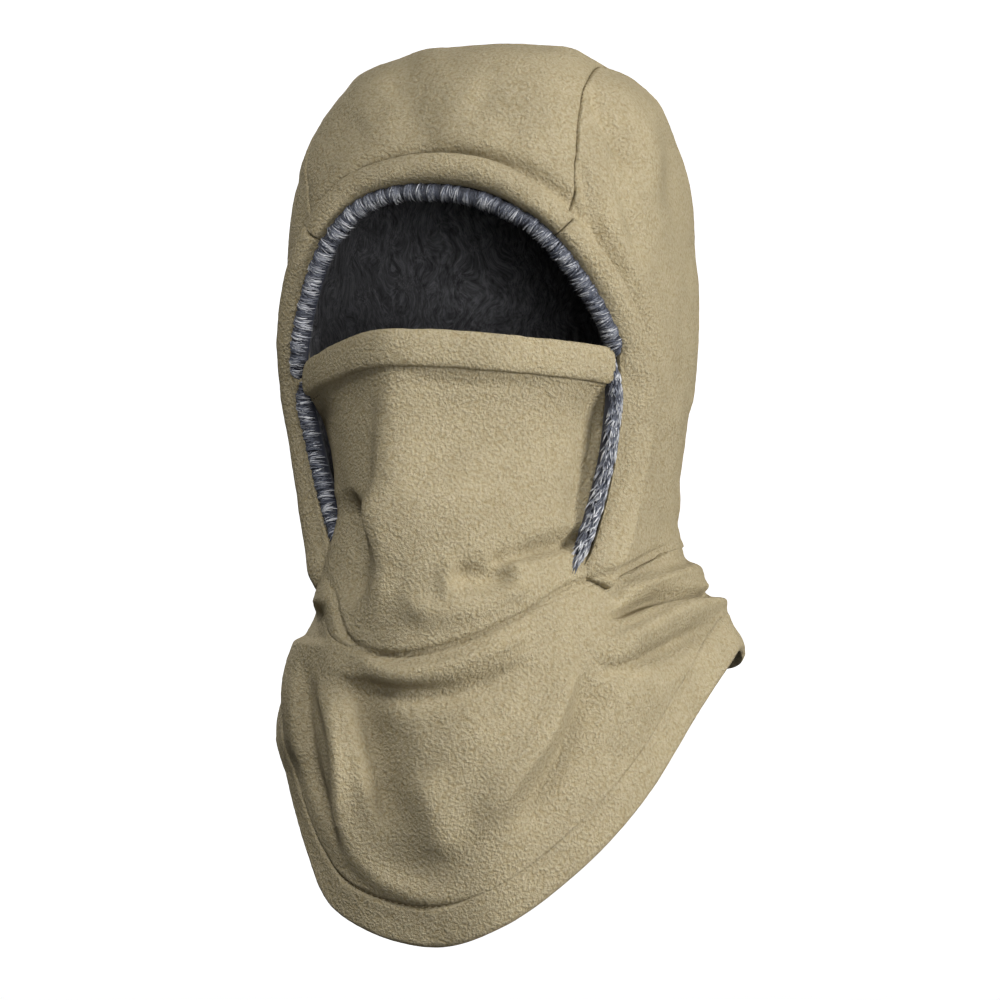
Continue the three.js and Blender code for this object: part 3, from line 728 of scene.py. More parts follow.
def threadMaterial(name, settings):
    # Spun polyester thread: two twisted yarns that catch a little light.
    material, tree = newMaterial(name)
    place = addNode(tree, "ShaderNodeTexCoord").outputs["Object"]
    twist = addNode(tree, "ShaderNodeTexNoise", {"Scale": 1 / settings["twist"], "Detail": 2.0}, {"Vector": place})
    colour = ramp(tree, twist.outputs["Fac"], [(0.35, linear(settings["dark"])), (0.65, linear(settings["light"]))])
    bump = addNode(tree, "ShaderNodeBump", {"Strength": 0.6, "Distance": settings["depth"]},
                   {"Height": twist.outputs["Fac"]})
    shader = addNode(tree, "ShaderNodeBsdfPrincipled", {"Roughness": settings["roughness"], "IOR": 1.5,
                                                        "Specular IOR Level": 0.3},
                     {"Base Color": colour, "Normal": bump.outputs[0]})
    addNode(tree, "ShaderNodeOutputMaterial", {}, {"Surface": shader.outputs[0]})
    return material


def wovenMaterial(name, settings):
    # Woven tape: crossing threads at a real spacing, drawn from two sets of bands.
    material, tree = newMaterial(name)
    place = addNode(tree, "ShaderNodeTexCoord").outputs["Object"]
    bands = [addNode(tree, "ShaderNodeTexWave", {"bands_direction": way, "Scale": 0.314 / settings["pitch"],
                                                 "Distortion": 0.4}, {"Vector": place}) for way in ("X", "Z")]
    height = addNode(tree, "ShaderNodeMath", {"operation": "MULTIPLY"},
                     {0: bands[0].outputs["Fac"], 1: bands[1].outputs["Fac"]})
    colour = ramp(tree, height.outputs[0], [(0.0, linear(settings["dark"])), (0.8, linear(settings["light"]))])
    bump = addNode(tree, "ShaderNodeBump", {"Strength": 0.5, "Distance": 0.0002}, {"Height": height.outputs[0]})
    shader = addNode(tree, "ShaderNodeBsdfPrincipled", {"Roughness": settings["roughness"], "IOR": 1.5},
                     {"Base Color": colour, "Normal": bump.outputs[0]})
    addNode(tree, "ShaderNodeOutputMaterial", {}, {"Surface": shader.outputs[0]})
    return material


# Pile balls are 1.3 mm wide and their fibres, really 0.02 mm, are drawn 0.45 mm wide so that they show.
fleeceLook = {
    # gap is painted shade between the pile balls, tip is painted light on their tops.
    "gap": "#978761", "body": "#b1a588", "tip": "#bdb298", "sheenTint": "#cdbb94", "sheen": 0.15, "uneven": 0.045,
    "ball": 0.0015, "drift": 0.0022, "push": 0.0005, "fibre": 0.00045, "tuft": 0.0013, "patch": 0.02,
    "strength": 1.0, "depth": 0.0032,
}
plushLook = {
    # root is painted shade deep in the pile, tip is a painted soft highlight.
    "root": "#3a3a3c", "body": "#626265", "tip": "#87878b", "swirl": 0.03, "turn": 0.05,
    "hair": 0.0011, "clump": 0.0035, "depth": 0.0012,
}
# The fur's tip colour serves both for its bleached tips and for painted highlight.
furLook = {"root": "#1d202b", "body": "#5d626f", "tip": "#d6d7da"}
threadLook = {"dark": "#5f5439", "light": "#8b7d5c", "twist": 0.0005, "depth": 0.0001, "roughness": 0.75}
elasticLook = {"dark": "#b9b5aa", "light": "#e2dfd6", "pitch": 0.0011, "roughness": 0.8}
labelLook = {"dark": "#d5d4cf", "light": "#f3f2ee", "pitch": 0.0007, "roughness": 0.55}
fleece = fleeceMaterial("brushed microfleece", fleeceLook)
plush = plushMaterial("long-pile plush lining", plushLook)
furPile = furMaterial("white-tipped plush pile with painted highlight", furLook)
thread = threadMaterial("spun polyester thread", threadLook)
elasticWeave = wovenMaterial("woven elastic tape", elasticLook)
labelSatin = wovenMaterial("woven satin label", labelLook)
print("materials made")


# ---- hood panels ----
def evenGrid(rule, wide, tall, spacing, inset=(0.3, 0.3, 0.3, 0.3), low=(0.0, 1.0)):
    # A grid over a rule's surface, its edges drawn back by millimetres: left, right, top, bottom.
    columns, rows = int(round(wide / spacing)), int(round(tall / spacing))
    u, v = np.meshgrid(np.linspace(0, 1, columns + 1), np.linspace(low[0], low[1], rows + 1))
    first, last = rule(np.zeros_like(v), v), rule(np.ones_like(v), v)
    across = np.maximum(np.linalg.norm(last - first, axis=-1), 1.0)
    top, foot = rule(u, np.zeros_like(u)), rule(u, np.ones_like(u))
    along = np.maximum(np.linalg.norm(foot - top, axis=-1), 1.0)
    u = mix(inset[0] / across, 1 - inset[1] / across, u)
    v = np.clip(v, inset[2] / along, 1 - inset[3] / along)
    return rule(u, v)


panelLook = {"spacing": 1.25, "pile": 0.22}
liningSpacing = 2.0


def hoodShell(name, guides, hollowsOnly, top, bottom, edges, material, pile, inside, seed):
    base = onHood(guides)
    normals = outwardNormals(base)
    rise = foldHeight(base, normals, hoodAndBib + bandFolds)
    rise = np.minimum(rise, 0) if hollowsOnly else rise
    folded = base + normals * rise[..., None]
    return clothShell(name, folded, outwardNormals(folded), top, bottom, edges, material, pile, inside, seed=seed)


crown = crownRule()
seamEdge, bandSide, neckEdge = (1.5, 2.6), (3.4, 8.0), (2.6, 3.4)
crownEdges = {"left": seamEdge, "right": seamEdge, "top": (5.0, 5.0), "bottom": neckEdge}
crownPanel = hoodShell("crownPanel", evenGrid(crown, 122, 480, panelLook["spacing"]), False,
                       0.0, -cloth["outer"], crownEdges, fleece, panelLook["pile"], 0.0, 11)
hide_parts("crown_center_panel")
crownLining = hoodShell("crownLining", evenGrid(crown, 122, 480, liningSpacing), True,
                        -cloth["liningTop"], -cloth["liningBottom"], {}, plush, 0.0, 0.5, 21)
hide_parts("crown_lining")
pieces = {"crownPanel": crownPanel, "crownLining": crownLining}
sideEdges = {"left": bandSide, "right": seamEdge, "bottom": (1.4, 2.6)}
for name, side in (("Left", 1), ("Right", -1)):
    key = name.lower()
    rule = sideRule(side, key)
    panel = hoodShell(f"sidePanel{name}", evenGrid(rule, 190, 215, panelLook["spacing"], low=(0.006, 1.0)),
                      False, 0.0, -cloth["outer"], sideEdges, fleece, panelLook["pile"], 0.0, 31 + side)
    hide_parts(f"side_panel_{key}")
    lining = hoodShell(f"sideLining{name}", evenGrid(rule, 190, 215, liningSpacing, low=(0.006, 1.0)), True,
                       -cloth["liningTop"], -cloth["liningBottom"], {}, plush, 0.0, 0.5, 41 + side)
    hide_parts(f"side_lining_{key}")
    pieces[f"sidePanel{name}"] = panel
    pieces[f"sideLining{name}"] = lining
for piece in pieces.values():
    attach(piece, "root")
print("hood panels and lining made")


# ---- the binding round the face ----
bindingLook = {"step": 1.1, "sides": 64, "outerEdge": 8.4, "innerEdge": 7.75, "bead": 0.5, "beadPlace": -6.6,
               "beadWide": 1.4, "proud": (3.4, 1.6), "tilt": (0.6, 4.2), "reach": 6.0, "lowEnd": 8.0, "deep": 4.0}


def besideFace(shares):
    # The opening's frame, carried a little past its lower ends so that band and plush reach the neck seam.
    point, out, across = openingFrame(shares)
    reach = bindingLook["reach"] * smooth(np.abs(shares - 0.5), 0.46, 0.5)
    return point + openingLine.way(shares) * (np.sign(shares - 0.5) * reach)[:, None], out, across


def bindingOutline(shift, tilt, proud):
    half = (bandProud + bandSunk) / 2
    inner = bindingLook["innerEdge"] + max(shift, 0) + 0.65 * min(shift, 0)
    outline = ovalOutline(1.0, half, bindingLook["sides"], 2.15, (bandProud - bandSunk) / 2)
    outline[:, 0] *= np.where(outline[:, 0] < 0, bindingLook["outerEdge"], inner)
    outer = smooth(outline[:, 1], -1.0, 1.5)
    outerHalf = smooth(-outline[:, 0], -1.0, 3.0)
    outline[:, 1] -= bindingLook["deep"] * smooth(-outline[:, 1], 0, bandSunk) * outerHalf
    outline[:, 1] += outer * proud * np.clip(1 - (outline[:, 0] / 10) ** 2, 0, 1)
    outline[:, 1] += outer * bindingLook["bead"] * bell(outline[:, 0], bindingLook["beadPlace"],
                                                         bindingLook["beadWide"])
    outline[:, 1] -= outer * tilt * np.clip(outline[:, 0] / 8, -0.8, 1)
    return outline


def bindingPiece(name, start, end, folds, seed):
    length = abs(end - start) * openingLine.length
    rings = int(length / bindingLook["step"]) + 1
    shares = np.linspace(start, end, rings)
    point, out, across = besideFace(shares)
    brow = smooth(shares, 0.62, 0.76)
    tilts, prouds = mix(*bindingLook["tilt"], brow), mix(*bindingLook["proud"], brow)
    outline = np.stack([bindingOutline(*values) for values in zip(plushStand(shares), tilts, prouds)])
    ends = roundedEnds(rings, length, 1.6)
    outline = outline * np.stack([mix(0.93, 1, ends), mix(0.75, 1, ends)], -1)[:, None, :]
    toEnd = (0.5 - np.abs(shares - 0.5)) * openingLine.length
    outline[..., 1] -= 2.6 * smooth(-toEnd, -bindingLook["lowEnd"], 0)[:, None]
    points, quads, fans = tube(point, across, out, outline)
    centre = np.repeat(point, bindingLook["sides"], 0)
    centre = np.concatenate([centre, point[:1], point[-1:]])
    away = unit(points - centre + 1e-6)
    outward = np.concatenate([np.repeat(out, bindingLook["sides"], 0), out[:1], out[-1:]])
    rise = foldHeight(points, outward, folds)
    front = smooth(np.sum(away * outward, -1), -0.2, 0.4)
    ripple = lumps(points, 9.0, seed) * 0.35 + lumps(points, 3.1, seed + 1) * 0.1 + lumps(points, 1.7, seed + 2) * 0.08
    points = points + outward * rise[:, None] + away * (ripple * front)[:, None]
    triangles = np.concatenate([quads[:, [0, 1, 2]], quads[:, [0, 2, 3]], fans])
    if signedVolume(points, triangles) < 0:
        triangles = triangles[:, ::-1]
    return meshPiece(name, points, triangles, fleece)


joint = 0.0006
bindings = {
    "browBinding": bindingPiece("browBinding", browJoint + joint, 1 - browJoint - joint, hoodFolds, 51),
    "cheekBindingLeft": bindingPiece("cheekBindingLeft", cheekShare(1, joint * 2), cheekShare(1, 0.999),
                                     hoodFolds + seamFolds, 54),
    "cheekBindingRight": bindingPiece("cheekBindingRight", cheekShare(-1, joint * 2), cheekShare(-1, 0.999),
                                      hoodFolds + seamFolds, 57),
}
for name, node in (("browBinding", "brow_binding"), ("cheekBindingLeft", "cheek_binding_left"),
                   ("cheekBindingRight", "cheek_binding_right")):
    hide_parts(node)
    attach(bindings[name], "root")
print("bindings made")


# ---- the plush edge: a dark roll with tapered locks of pile laid over it ----
furLook3d = {"lockSides": 3, "lockRings": 5, "lockRadius": 0.42, "coreSides": 14, "coreShare": 0.8}


def furPiece(name, start, end, settings, seed):
    random = np.random.default_rng(seed)
    length = abs(end - start) * openingLine.length
    offset = halfBand + furSize["gap"] + furSize["halfWidth"]
    rings = int(length / 2.0) + 1
    shares = np.linspace(start, end, rings)
    point, out, across = besideFace(shares)
    centre = point + across * (offset + plushStand(shares))[:, None] - out * settings["sink"]
    halfWidth, halfDepth = furSize["halfWidth"] * settings["slim"], furSize["halfDepth"] * settings["slim"]
    taper = roundedEnds(rings, length, settings["taper"])
    core = ovalOutline(halfWidth, halfDepth, furLook3d["coreSides"]) * furLook3d["coreShare"]
    outlines = core[None] * taper[:, None, None]
    points, quads, fans = tube(centre, across, out, outlines)
    triangles = np.concatenate([quads[:, [0, 1, 2]], quads[:, [0, 2, 3]], fans])
    if signedVolume(points, triangles) < 0:
        triangles = triangles[:, ::-1]
    allPoints, allFaces, allTips = [points], [triangles], [np.zeros(len(points))]
    count = int(length * settings["perMm"])
    place = (np.arange(count) + random.uniform(0, 1, count)) / count
    lockShare = mix(start, end, place)
    point, out, across = besideFace(lockShare)
    centre = point + across * (offset + plushStand(lockShare))[:, None] - out * settings["sink"]
    along = unit(np.cross(out, across)) * np.sign(end - start)
    size = np.interp(place, np.linspace(0, 1, rings), taper)
    clump = np.sin(place * length / settings["clump"] * 2 * np.pi + lumps(centre, 6.0, seed) * 2.5)
    fromAngle = np.radians(random.uniform(settings["angles"][0], settings["angles"][1], count))
    sweep = np.radians(random.uniform(settings["sweep"][0], settings["sweep"][1], count))
    drift = random.uniform(settings["drift"][0], settings["drift"][1], count) - clump * settings["gather"]
    stand = random.uniform(0.85, 1.13, count) + clump * 0.07
    ringsCount, sides = furLook3d["lockRings"], furLook3d["lockSides"]
    steps = np.linspace(0, 1, ringsCount)
    angle = fromAngle[:, None] + sweep[:, None] * steps[None]
    radial = across[:, None] * np.cos(angle)[..., None] * halfWidth \
        + out[:, None] * np.sin(angle)[..., None] * halfDepth
    grow = (stand * size)[:, None] * (1 + settings["lift"] * np.sin(steps * np.pi * 0.8)[None])
    middle = centre[:, None] + radial * grow[..., None] + along[:, None] * (drift[:, None] * steps[None] ** 1.3)[..., None]
    thick = furLook3d["lockRadius"] * random.uniform(0.7, 1.25, count)[:, None] \
        * np.sqrt(np.maximum(1 - steps[None] ** 2, 0.03)) * np.minimum(0.55 + steps[None] * 3, 1) * mix(0.6, 1, size)[:, None]
    way = unit(np.gradient(middle, axis=1))
    sideways = unit(np.cross(way, unit(radial)))
    upward = np.cross(sideways, way)
    turn = 2 * np.pi * np.arange(sides) / sides
    ring = sideways[:, :, None] * np.cos(turn)[None, None, :, None] + upward[:, :, None] * np.sin(turn)[None, None, :, None]
    lockPoints = middle[:, :, None] + ring * thick[..., None, None]
    lockPoints = lockPoints.reshape(count, -1, 3)
    oneQuads = tubeFaces(ringsCount, sides, False)
    one = np.concatenate([oneQuads[:, [0, 1, 2]], oneQuads[:, [0, 2, 3]]])
    last = (ringsCount - 1) * sides
    caps = np.array([[0, 2, 1], [last, last + 1, last + 2]])
    one = np.concatenate([one, caps])
    if signedVolume(lockPoints[0] - lockPoints[0].mean(0), one) < 0:
        one = one[:, ::-1]
    base = len(points) + np.arange(count)[:, None, None] * lockPoints.shape[1]
    allFaces.append((one[None] + base).reshape(-1, 3))
    # Painted highlight: locks in gathered clumps are made lighter, and each lock is whitest where it arches near its
    # tip, on top of its bleached tip colour.
    bright = np.clip(settings["bright"] + 0.28 * clump + random.normal(0, 0.2, count), 0.05, 1.2)
    tipAndHighlight = bright[:, None] * np.clip(np.sin(steps * np.pi * 0.62) ** settings["whiteAt"], 0, 1)[None]
    allTips.append(np.repeat(tipAndHighlight[..., None], sides, -1).ravel())
    allPoints.append(lockPoints.reshape(-1, 3))
    piece = meshPiece(name, np.concatenate(allPoints), np.concatenate(allFaces), furPile)
    attribute = piece.data.attributes.new("tip", "FLOAT", "POINT")
    attribute.data.foreach_set("value", np.concatenate(allTips).astype(np.float32))
    return piece


# bright sets each lock's bleached tip together with its painted highlight; whiteAt sets how tightly that sits near the
# tip.
rollPile = {"sink": 3.0, "slim": 1.0, "perMm": 9.0, "angles": (130, 190), "sweep": (-175, -110),
            "drift": (-2.0, 2.6), "gather": 0.85, "clump": 7.0, "lift": 0.06, "bright": 0.5, "whiteAt": 2.2,
            "taper": 6.0}
loosePile = {"sink": 4.4, "slim": 0.86, "perMm": 12.0, "angles": (20, 185), "sweep": (-60, 20),
             "drift": (2.5, 7.5), "gather": 0.8, "clump": 7.0, "lift": 0.1, "bright": 0.6, "whiteAt": 1.3,
             "taper": 15.0}
furEnds = {"above": 0.362, "below": 0.345, "low": 1.0}
furs = {
    "furBrow": furPiece("furBrow", cheekShare(-1, 0.4), cheekShare(1, furEnds["above"]), rollPile, 61),
    "furCheekLeft": furPiece("furCheekLeft", cheekShare(1, furEnds["below"]), cheekShare(1, furEnds["low"]),
                             loosePile, 62),
    "furCheekRight": furPiece("furCheekRight", cheekShare(-1, 0.405), cheekShare(-1, 0.99),
                              {**rollPile, "sink": 6.0, "taper": 12.0, "bright": 0.42}, 63),
}
for name, node in (("furBrow", "fur_trim_brow"), ("furCheekLeft", "fur_trim_left"),
                   ("furCheekRight", "fur_trim_right")):
    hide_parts(node)
    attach(furs[name], "root")
print("plush edge made")

# ---- the mask ----
maskHemLine = Line([
    (-62, -67, -154), (-46, -84, -152), (-25, -100, -149), (-8, -109, -147.5), (8, -109, -147.5),
    (27, -102, -148.5), (48, -90, -150), (69, -68, -151.5), (83, -46, -152.5),
])
maskHem = {"height": 17, "thickness": 6.4, "wall": 2, "below": 2.2}
maskSides = {"top": 0.385, "low": 0.99, "past": {1: 9.4, -1: 10.5}, "corner": 1.5, "depth": {1: 7.6, -1: 10.0},
             "chinBulge": 9.0, "settle": 5.0}


def maskEdge(side):
    # Each side of the mask runs down under its plush edge, and meets the hem and the neck seam.
    def line(v):
        share = cheekShare(side, mix(maskSides["top"], maskSides["low"], v))
        offset = maskSides["past"][side] + plushStand(share) - maskSides["corner"] * smooth(v, 0.75, 1)
        return besideOpening(share, offset, maskSides["depth"][side])
    return line


def nearestShare(line, point, low, high):
    shares = np.linspace(low, high, 400)
    return shares[np.linalg.norm(line.at(shares) - point, axis=1).argmin()]


def maskRule():
    drop = np.array([0, 0, maskHem["height"] / 2 - 1.4])
    top = lambda u: maskHemLine.along(mix(0.004, 0.996, u)) - drop
    foot = {side: maskEdge(side)(np.array([1.0]))[0] for side in (-1, 1)}
    right = nearestShare(neckLine, foot[-1], 0.76, 0.92) - 1
    left = nearestShare(neckLine, foot[1], 0.14, 0.27)
    bottom = lambda u: neckLine.at(mix(right, left, u)) - np.array([0, 0, 0.4])

    def edge(side, end):
        line = maskEdge(side)
        first = top(np.array([end]))[0] - line(np.array([0.0]))[0]
        last = bottom(np.array([end]))[0] - line(np.array([1.0]))[0]
        settle = maskSides["settle"]
        return lambda v: line(v) + first * ((1 - v) ** settle)[..., None] + last * (v ** settle)[..., None]
    return between(top, bottom, edge(-1, 0.0), edge(1, 1.0))


maskShape = maskRule()


def maskGrid(columns, rows):
    u, v = np.meshgrid(np.linspace(0, 1, columns + 1), np.linspace(0, 1, rows + 1))
    points = maskShape(u, v)
    points[..., 1] -= maskSides["chinBulge"] * bell(u, 0.5, 0.2) * bell(v, 0.64, 0.3)
    return points


maskLook = {"columns": 240, "rows": 150, "thickness": 3.0, "liningTop": 3.5, "liningBottom": 6.1, "pile": 0.22}


def maskSurface(columns, rows, folds):
    points = maskGrid(columns, rows)
    normals = outwardNormals(points)
    folded = points + normals * foldHeight(points, normals, folds)[..., None]
    return folded, outwardNormals(folded)


facePoints, faceNormals = maskSurface(maskLook["columns"], maskLook["rows"], maskAndBib)
maskPanel = clothShell("maskPanel", facePoints, faceNormals, 0.0, -maskLook["thickness"],
                       {"top": (1.6, 3.0), "bottom": neckEdge}, fleece, maskLook["pile"], seed=71)
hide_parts("mask_face_panel")
backPoints, backNormals = maskSurface(110, 60, maskAndBib)
maskLining = clothShell("maskLining", backPoints, backNormals, -maskLook["liningTop"], -maskLook["liningBottom"],
                        {}, plush, 0.0, 0.4, seed=75)
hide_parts("mask_lining")


def hemFrame(shares):
    centre = maskHemLine.along(shares)
    along = maskHemLine.way(shares)
    out = unit(np.stack([along[:, 1], -along[:, 0], np.zeros(len(shares))], -1))
    return centre, out, np.repeat([[0.0, 0.0, 1.0]], len(shares), 0)


def maskHemPiece():
    rings = 190
    shares = np.linspace(0, 1, rings)
    centre, out, up = hemFrame(shares)
    outline = np.repeat(ovalOutline(maskHem["thickness"] / 2, maskHem["height"] / 2, 56, 2.7)[None], rings, 0)
    ends = roundedEnds(rings, maskHemLine.length, 5.0)
    outline[..., 0] *= mix(0.75, 1, ends)[:, None]
    outline[..., 1] *= mix(0.8, 1, ends)[:, None]
    outer, quads, fans = tube(centre, out, up, outline)
    middle = np.concatenate([np.repeat(centre, 56, 0), centre[:1], centre[-1:]])
    away = unit(outer - middle + 1e-6)
    ripple = lumps(outer, 12.0, 81) * 0.45 + lumps(outer, 3.1, 82) * 0.1 + lumps(outer, 1.7, 83) * 0.08
    outer = outer + away * ripple[:, None]
    skin = np.concatenate([quads[:, [0, 1, 2]], quads[:, [0, 2, 3]], fans])
    if signedVolume(outer, skin) < 0:
        skin = skin[:, ::-1]
    held = np.linspace(0.012, 0.988, 80)
    centre, out, up = hemFrame(held)
    bore = ovalOutline(maskHem["thickness"] / 2 - maskHem["wall"], maskHem["height"] / 2 - maskHem["wall"], 16, 3)
    pocket, quads, fans = tube(centre, out, up, np.repeat(bore[None], 80, 0))
    wall = np.concatenate([quads[:, [0, 1, 2]], quads[:, [0, 2, 3]], fans])
    if signedVolume(pocket, wall) > 0:
        wall = wall[:, ::-1]
    return meshPiece("maskTopHem", np.concatenate([outer, pocket]), np.concatenate([skin, wall + len(outer)]), fleece)


maskTopHem = maskHemPiece()
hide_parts("mask_top_hem")
tapeShares = np.linspace(0.02, 0.98, 120)
tapeCentre, tapeOut, tapeUp = hemFrame(tapeShares)
tapeOutline = ovalOutline(0.6, 5.0, 40, 6)
tapeOutline[:, 0] *= 0.85 + 0.15 * np.cos(tapeOutline[:, 1] * 2 * np.pi / 2.5)  # four ribs of covered rubber
maskElastic = tubePiece("maskHemElastic", tapeCentre, tapeOut, tapeUp, np.repeat(tapeOutline[None], 120, 0),
                        elasticWeave)
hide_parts("mask_hem_elastic")
print("mask made")


# ---- stitches ----
def stitchRow(name, centres, outs, pitch, length, radius):
    # A row of single stitches along points that lie close together, each one a tapered yarn.
    steps = np.linalg.norm(np.diff(centres, axis=0), axis=1)
    reached = np.concatenate([[0], np.cumsum(steps)])
    count = int(reached[-1] / pitch)
    starts = (np.arange(count) + 0.5) * reached[-1] / count
    rings, sides = 5, 6
    offsets = np.linspace(-length / 2, length / 2, rings)
    spots = np.clip(starts[:, None] + offsets[None], 0, reached[-1])
    pick = lambda values: np.stack([np.interp(spots, reached, values[:, k]) for k in range(3)], -1)
    middle, out = pick(centres), unit(pick(outs))
    bow = np.cos(np.linspace(-1, 1, rings) * np.pi / 2)
    middle = middle + out * (bow[None] * radius * 0.9)[..., None]
    way = unit(np.gradient(middle, axis=1))
    sideways = np.cross(way, out)
    thick = radius * np.maximum(bow, 0.35) ** 0.5
    turn = 2 * np.pi * np.arange(sides) / sides
    ring = sideways[:, :, None] * np.cos(turn)[:, None] + out[:, :, None] * np.sin(turn)[:, None]
    points = (middle[:, :, None] + ring * thick[None, :, None, None]).reshape(count, -1, 3)
    quads = tubeFaces(rings, sides, False)
    last = (rings - 1) * sides
    fan = np.array([[0, k + 1, k] for k in range(1, sides - 1)] + [[last, last + k, last + k + 1]
                                                                  for k in range(1, sides - 1)])
    one = np.concatenate([quads[:, [0, 1, 2]], quads[:, [0, 2, 3]], fan])
    if signedVolume(points[0] - points[0].mean(0), one) < 0:
        one = one[:, ::-1]
    faces = (one[None] + np.arange(count)[:, None, None] * points.shape[1]).reshape(-1, 3)
    return meshPiece(name, points.reshape(-1, 3), faces, thread)


seamStitch = {"pitch": 3.2, "length": 3.0, "radius": 0.42}
stitches = {}
for name in ("left", "right"):
    shares = np.linspace(0.03, 0.99, 300)
    spots = onHood(seams[name].along(shares))
    outs = hoodNormal(spots)
    rise = foldHeight(spots, outs, hoodFolds)
    spots = spots + outs * (rise - 1.7)[:, None]
    stitches[name] = stitchRow(f"crownSeam{name.title()}", spots, outs, **seamStitch)
    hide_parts(f"crown_seam_{name}")
    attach(stitches[name], "root")
hemShares = np.linspace(0.01, 0.99, 200)
hemCentre, hemOut, hemUp = hemFrame(hemShares)
maskHemStitches = stitchRow("maskHemStitching", hemCentre - hemUp * (maskHem["height"] + maskHem["below"]) / 2
                            - hemOut * 2.4, hemOut, **seamStitch)
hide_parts("mask_hem_stitching")

# ---- the bib ----
bibHem = {"height": 17, "thickness": 6.4, "below": 2.2}
cutFolds = [
    (0.0, 0.08, 0.1, 0.08, 3), (0.0, 0.11, 0.36, 0.14, -3), (0.06, 0.05, 0.72, 0.35, 3),
    (0.945, 0.035, 0.5, 0.4, 4), (0.9, 0.025, 0.5, 0.35, -3.5), (0.16, 0.05, 0.35, 0.25, -4),
    (0.23, 0.04, 0.5, 0.3, 4), (0.84, 0.04, 0.6, 0.3, 3), (0.32, 0.03, 0.3, 0.2, -3),
    (0.42, 0.04, 0.6, 0.3, 3), (0.6, 0.05, 0.6, 0.3, 3), (0.5, 0.04, 0.6, 0.4, -2),
]
bibLook = {"columns": 520, "rows": 84, "hemRows": 18, "pile": 0.22, "sag": 5}


def bibFace(u, v):
    neck = neckLine.at(u)
    hem = bibHemLine.at(u)
    flare = v ** 1.3
    points = np.stack([mix(neck[..., 0], hem[..., 0], flare), mix(neck[..., 1], hem[..., 1], flare),
                       mix(neck[..., 2] + 1.6, hem[..., 2], v)], -1)
    out = points * np.array([1.0, 1.0, 0.0])
    stand = bibLook["sag"] * np.sin(np.pi * v) ** 1.5
    for around, wide, down, tall, height in cutFolds:
        away = np.abs((u - around + 1.5) % 1 - 0.5)
        stand = stand + height * bell(away, 0, wide) * bell(v, down, tall) * np.clip(v * 8, 0, 1)
    return points + unit(out) * stand[..., None]


def bibSurface(columns, rows, hemRows, hemTall, folds):
    u, v = np.meshgrid(np.arange(columns) / columns, np.linspace(0, 1, rows + 1))
    panel = bibFace(u, v)
    edge = panel[-1]
    down = unit(edge - bibFace(u[0], np.full(columns, 0.96)))
    drops = np.linspace(0, hemTall, hemRows + 1)[1:]
    hem = edge[None] + down[None] * drops[:, None, None]
    points = np.concatenate([panel, hem])
    normals = outwardNormals(points, ring=True)
    folded = points + normals * foldHeight(points, normals, folds)[..., None]
    return folded, outwardNormals(folded, ring=True)


bibPoints, bibNormals = bibSurface(bibLook["columns"], bibLook["rows"], bibLook["hemRows"],
                                   bibHem["height"] + bibHem["below"], allFolds)
split = bibLook["rows"] + 1
hemSeen = asSeen(bibPoints[split - 1])[:, 0]
hemShow = mix(0.02, 1, smooth(-hemSeen, 4, 34))  # pulled flat towards the wearer's left, deep to the right
bibPanel = clothShell("bibPanel", bibPoints[:split], bibNormals[:split], 0.0, -cloth["outer"],
                      {"top": (2.2, 3.4), "bottom": (2.0 * hemShow, 3.6)}, fleece, bibLook["pile"], ring=True,
                      seed=91)
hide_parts("bib_panel")
bibHemPiece = clothShell("bibHem", bibPoints[split - 1:], bibNormals[split - 1:], 0.0, -4.2,
                         {"top": (2.6 * hemShow, 3.0), "bottom": (2.6, 3.6)}, fleece, bibLook["pile"], ring=True,
                         seed=91)
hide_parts("bib_hem")
innerPoints, innerNormals = bibSurface(300, 44, 1, 3.0, allFolds)
bibLining = clothShell("bibLining", innerPoints, innerNormals, -cloth["liningTop"], -cloth["liningBottom"], {},
                       plush, 0.0, 0.5, ring=True, seed=97)
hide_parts("bib_lining")
seamRow, seamNormal = bibPoints[split - 1], bibNormals[split - 1]
grooveRow = np.concatenate([seamRow, seamRow[:1]]) * 0.5 \
    + np.concatenate([bibPoints[split], bibPoints[split][:1]]) * 0.5
grooveNormal = np.concatenate([seamNormal, seamNormal[:1]])
bibStitches = stitchRow("bibHemStitching", grooveRow - grooveNormal * 2.2, grooveNormal, **seamStitch)
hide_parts("bib_hem_stitching")
neckShares = np.linspace(0, 1, 500)
neckSpots = neckLine.at(neckShares)
neckOuts = unit(neckSpots * np.array([1.0, 1.0, 0.0]))
neckRise = foldHeight(neckSpots, neckOuts, allFolds)
neckSeam = stitchRow("neckSeam", neckSpots + neckOuts * (neckRise - 2.2)[:, None], neckOuts, **seamStitch)
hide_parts("neck_seam")
for piece in (bibPanel, bibHemPiece, bibLining, bibStitches, neckSeam):
    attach(piece, "root")
print("bib made")

# ---- the care label: a blank folded tab sewn to the nape's lining ----
labelSize = {"width": 26, "height": 30, "thickness": 0.8, "depth": 11.6, "z": -196, "curl": 1.2}
labelMiddle = onHood(np.array([0.0, 90.0, labelSize["z"]]), labelSize["depth"])
across, up = np.meshgrid(np.linspace(-0.5, 0.5, 27), np.linspace(0.5, -0.5, 31))
labelGrid = labelMiddle + np.stack([
    across * labelSize["width"],
    -labelSize["curl"] * np.clip(0.2 - up, 0, 1) ** 2,
    up * labelSize["height"]], -1)
labelNormals = np.tile(np.array([0.0, -1.0, 0.0]), (31, 27, 1))
careLabel = clothShell("careLabel", labelGrid, labelNormals, 0.4, -0.4,
                       {side: (0.25, 0.8) for side in ("left", "right", "top", "bottom")}, labelSatin)
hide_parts("care_label")
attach(careLabel, "root")

# ---- what moves with the mask; the mask's panel and lining have their placing baked into their points ----
for piece in (maskTopHem, maskElastic, maskHemStitches):
    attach(piece, "mask")
for piece in (maskPanel, maskLining):
    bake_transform(piece)

# ---- studio ----
studio = {"floor": -0.62, "radius": 5.0, "bend": 2.0, "high": 6.0, "colour": "#f6f5f3"}


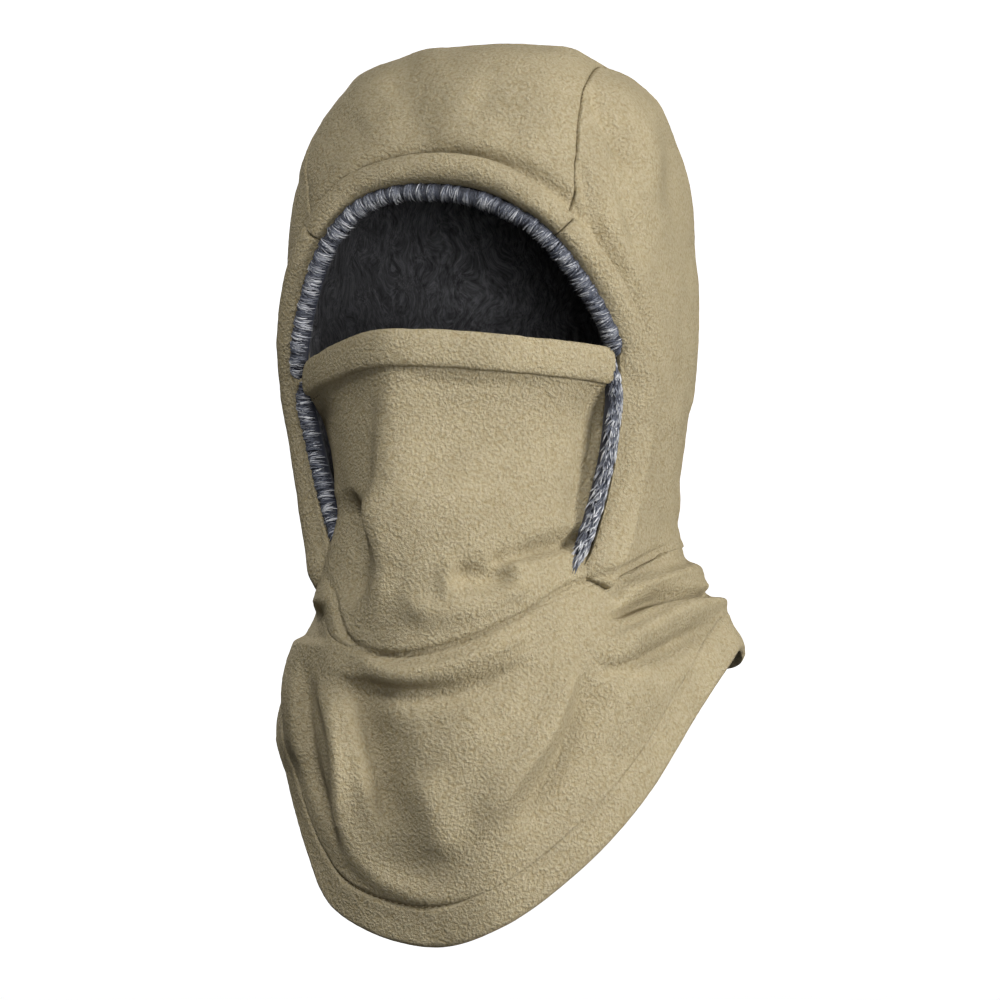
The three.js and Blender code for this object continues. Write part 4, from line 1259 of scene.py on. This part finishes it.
def backdropPiece():
    # A pale floor that bends up into a pale wall all round.
    steps = np.linspace(0, np.pi / 2, 14)
    flat, bend = studio["radius"] - studio["bend"], studio["bend"]
    profile = [(0.0, 0.0)] + [(flat + bend * math.sin(a), bend * (1 - math.cos(a))) for a in steps]
    profile += [(studio["radius"], studio["high"])]
    sides = 48
    turn = 2 * np.pi * np.arange(sides) / sides
    rings = np.array([[(r * math.cos(a), r * math.sin(a), z + studio["floor"]) for a in turn]
                      for r, z in profile[1:]])
    points = np.concatenate([rings.reshape(-1, 3), [[0.0, 0.0, studio["floor"]]]]) / mm
    quads = tubeFaces(len(rings), sides, False)[:, ::-1]
    fan = np.stack([np.arange(sides), np.roll(np.arange(sides), -1), np.full(sides, len(points) - 1)], -1)
    faces = np.concatenate([quads[:, [0, 1, 2]], quads[:, [0, 2, 3]], fan[:, ::-1]])
    material, tree = newMaterial("matt studio paper")
    grain = addNode(tree, "ShaderNodeTexNoise", {"Scale": 30.0, "Detail": 2.0},
                    {"Vector": addNode(tree, "ShaderNodeTexCoord").outputs["Object"]})
    colour = ramp(tree, grain.outputs["Fac"], [(0.3, linear("#f3f2f0")), (0.7, linear(studio["colour"]))])
    shader = addNode(tree, "ShaderNodeBsdfPrincipled", {"Roughness": 0.95, "Emission Color": (1, 1, 1, 1),
                                                        "Emission Strength": 1.0}, {"Base Color": colour})
    addNode(tree, "ShaderNodeOutputMaterial", {}, {"Surface": shader.outputs[0]})
    return meshPiece("backdrop", points, faces, material)


backdrop = backdropPiece()
backdrop.visible_diffuse = False  # the paper is only a background and lights nothing
backdrop.visible_glossy = False


def softBox(name, place, aim, size, power, tint):
    light = bpy.data.lights.new(name, "AREA")
    light.shape = "RECTANGLE"
    light.size, light.size_y = size
    light.energy = power
    light.color = tint
    lamp = bpy.data.objects.new(name, light)
    lamp.location = place
    lamp.visible_camera = False
    lamp.rotation_euler = (Vector(aim) - Vector(place)).to_track_quat("-Z", "Y").to_euler()
    bpy.context.scene.collection.objects.link(lamp)


softBox("keyLight", (2.25, -0.3, 0.1), (0.0, 0.0, -0.2), (0.9, 0.9), 62, (1.0, 0.99, 0.97))
softBox("frontLight", (0.2, -1.85, 1.45), (0.0, 0.0, -0.2), (0.7, 0.7), 36, (1.0, 0.995, 0.985))
softBox("fillLight", (0.95, -1.55, -0.3), (0.0, 0.0, -0.12), (0.4, 0.4), 9, (1.0, 1.0, 1.0))
softBox("backLight", (-1.5, 1.7, 0.9), (0.0, 0.0, 0.0), (0.9, 0.9), 30, (1.0, 0.99, 0.97))
world = bpy.data.worlds.new("studio")
world.use_nodes = True
world.node_tree.nodes["Background"].inputs["Color"].default_value = (1.0, 1.0, 1.0, 1.0)
world.node_tree.nodes["Background"].inputs["Strength"].default_value = 0.06
bpy.context.scene.world = world
bpy.context.scene.view_settings.view_transform = "Standard"
print("studio made")
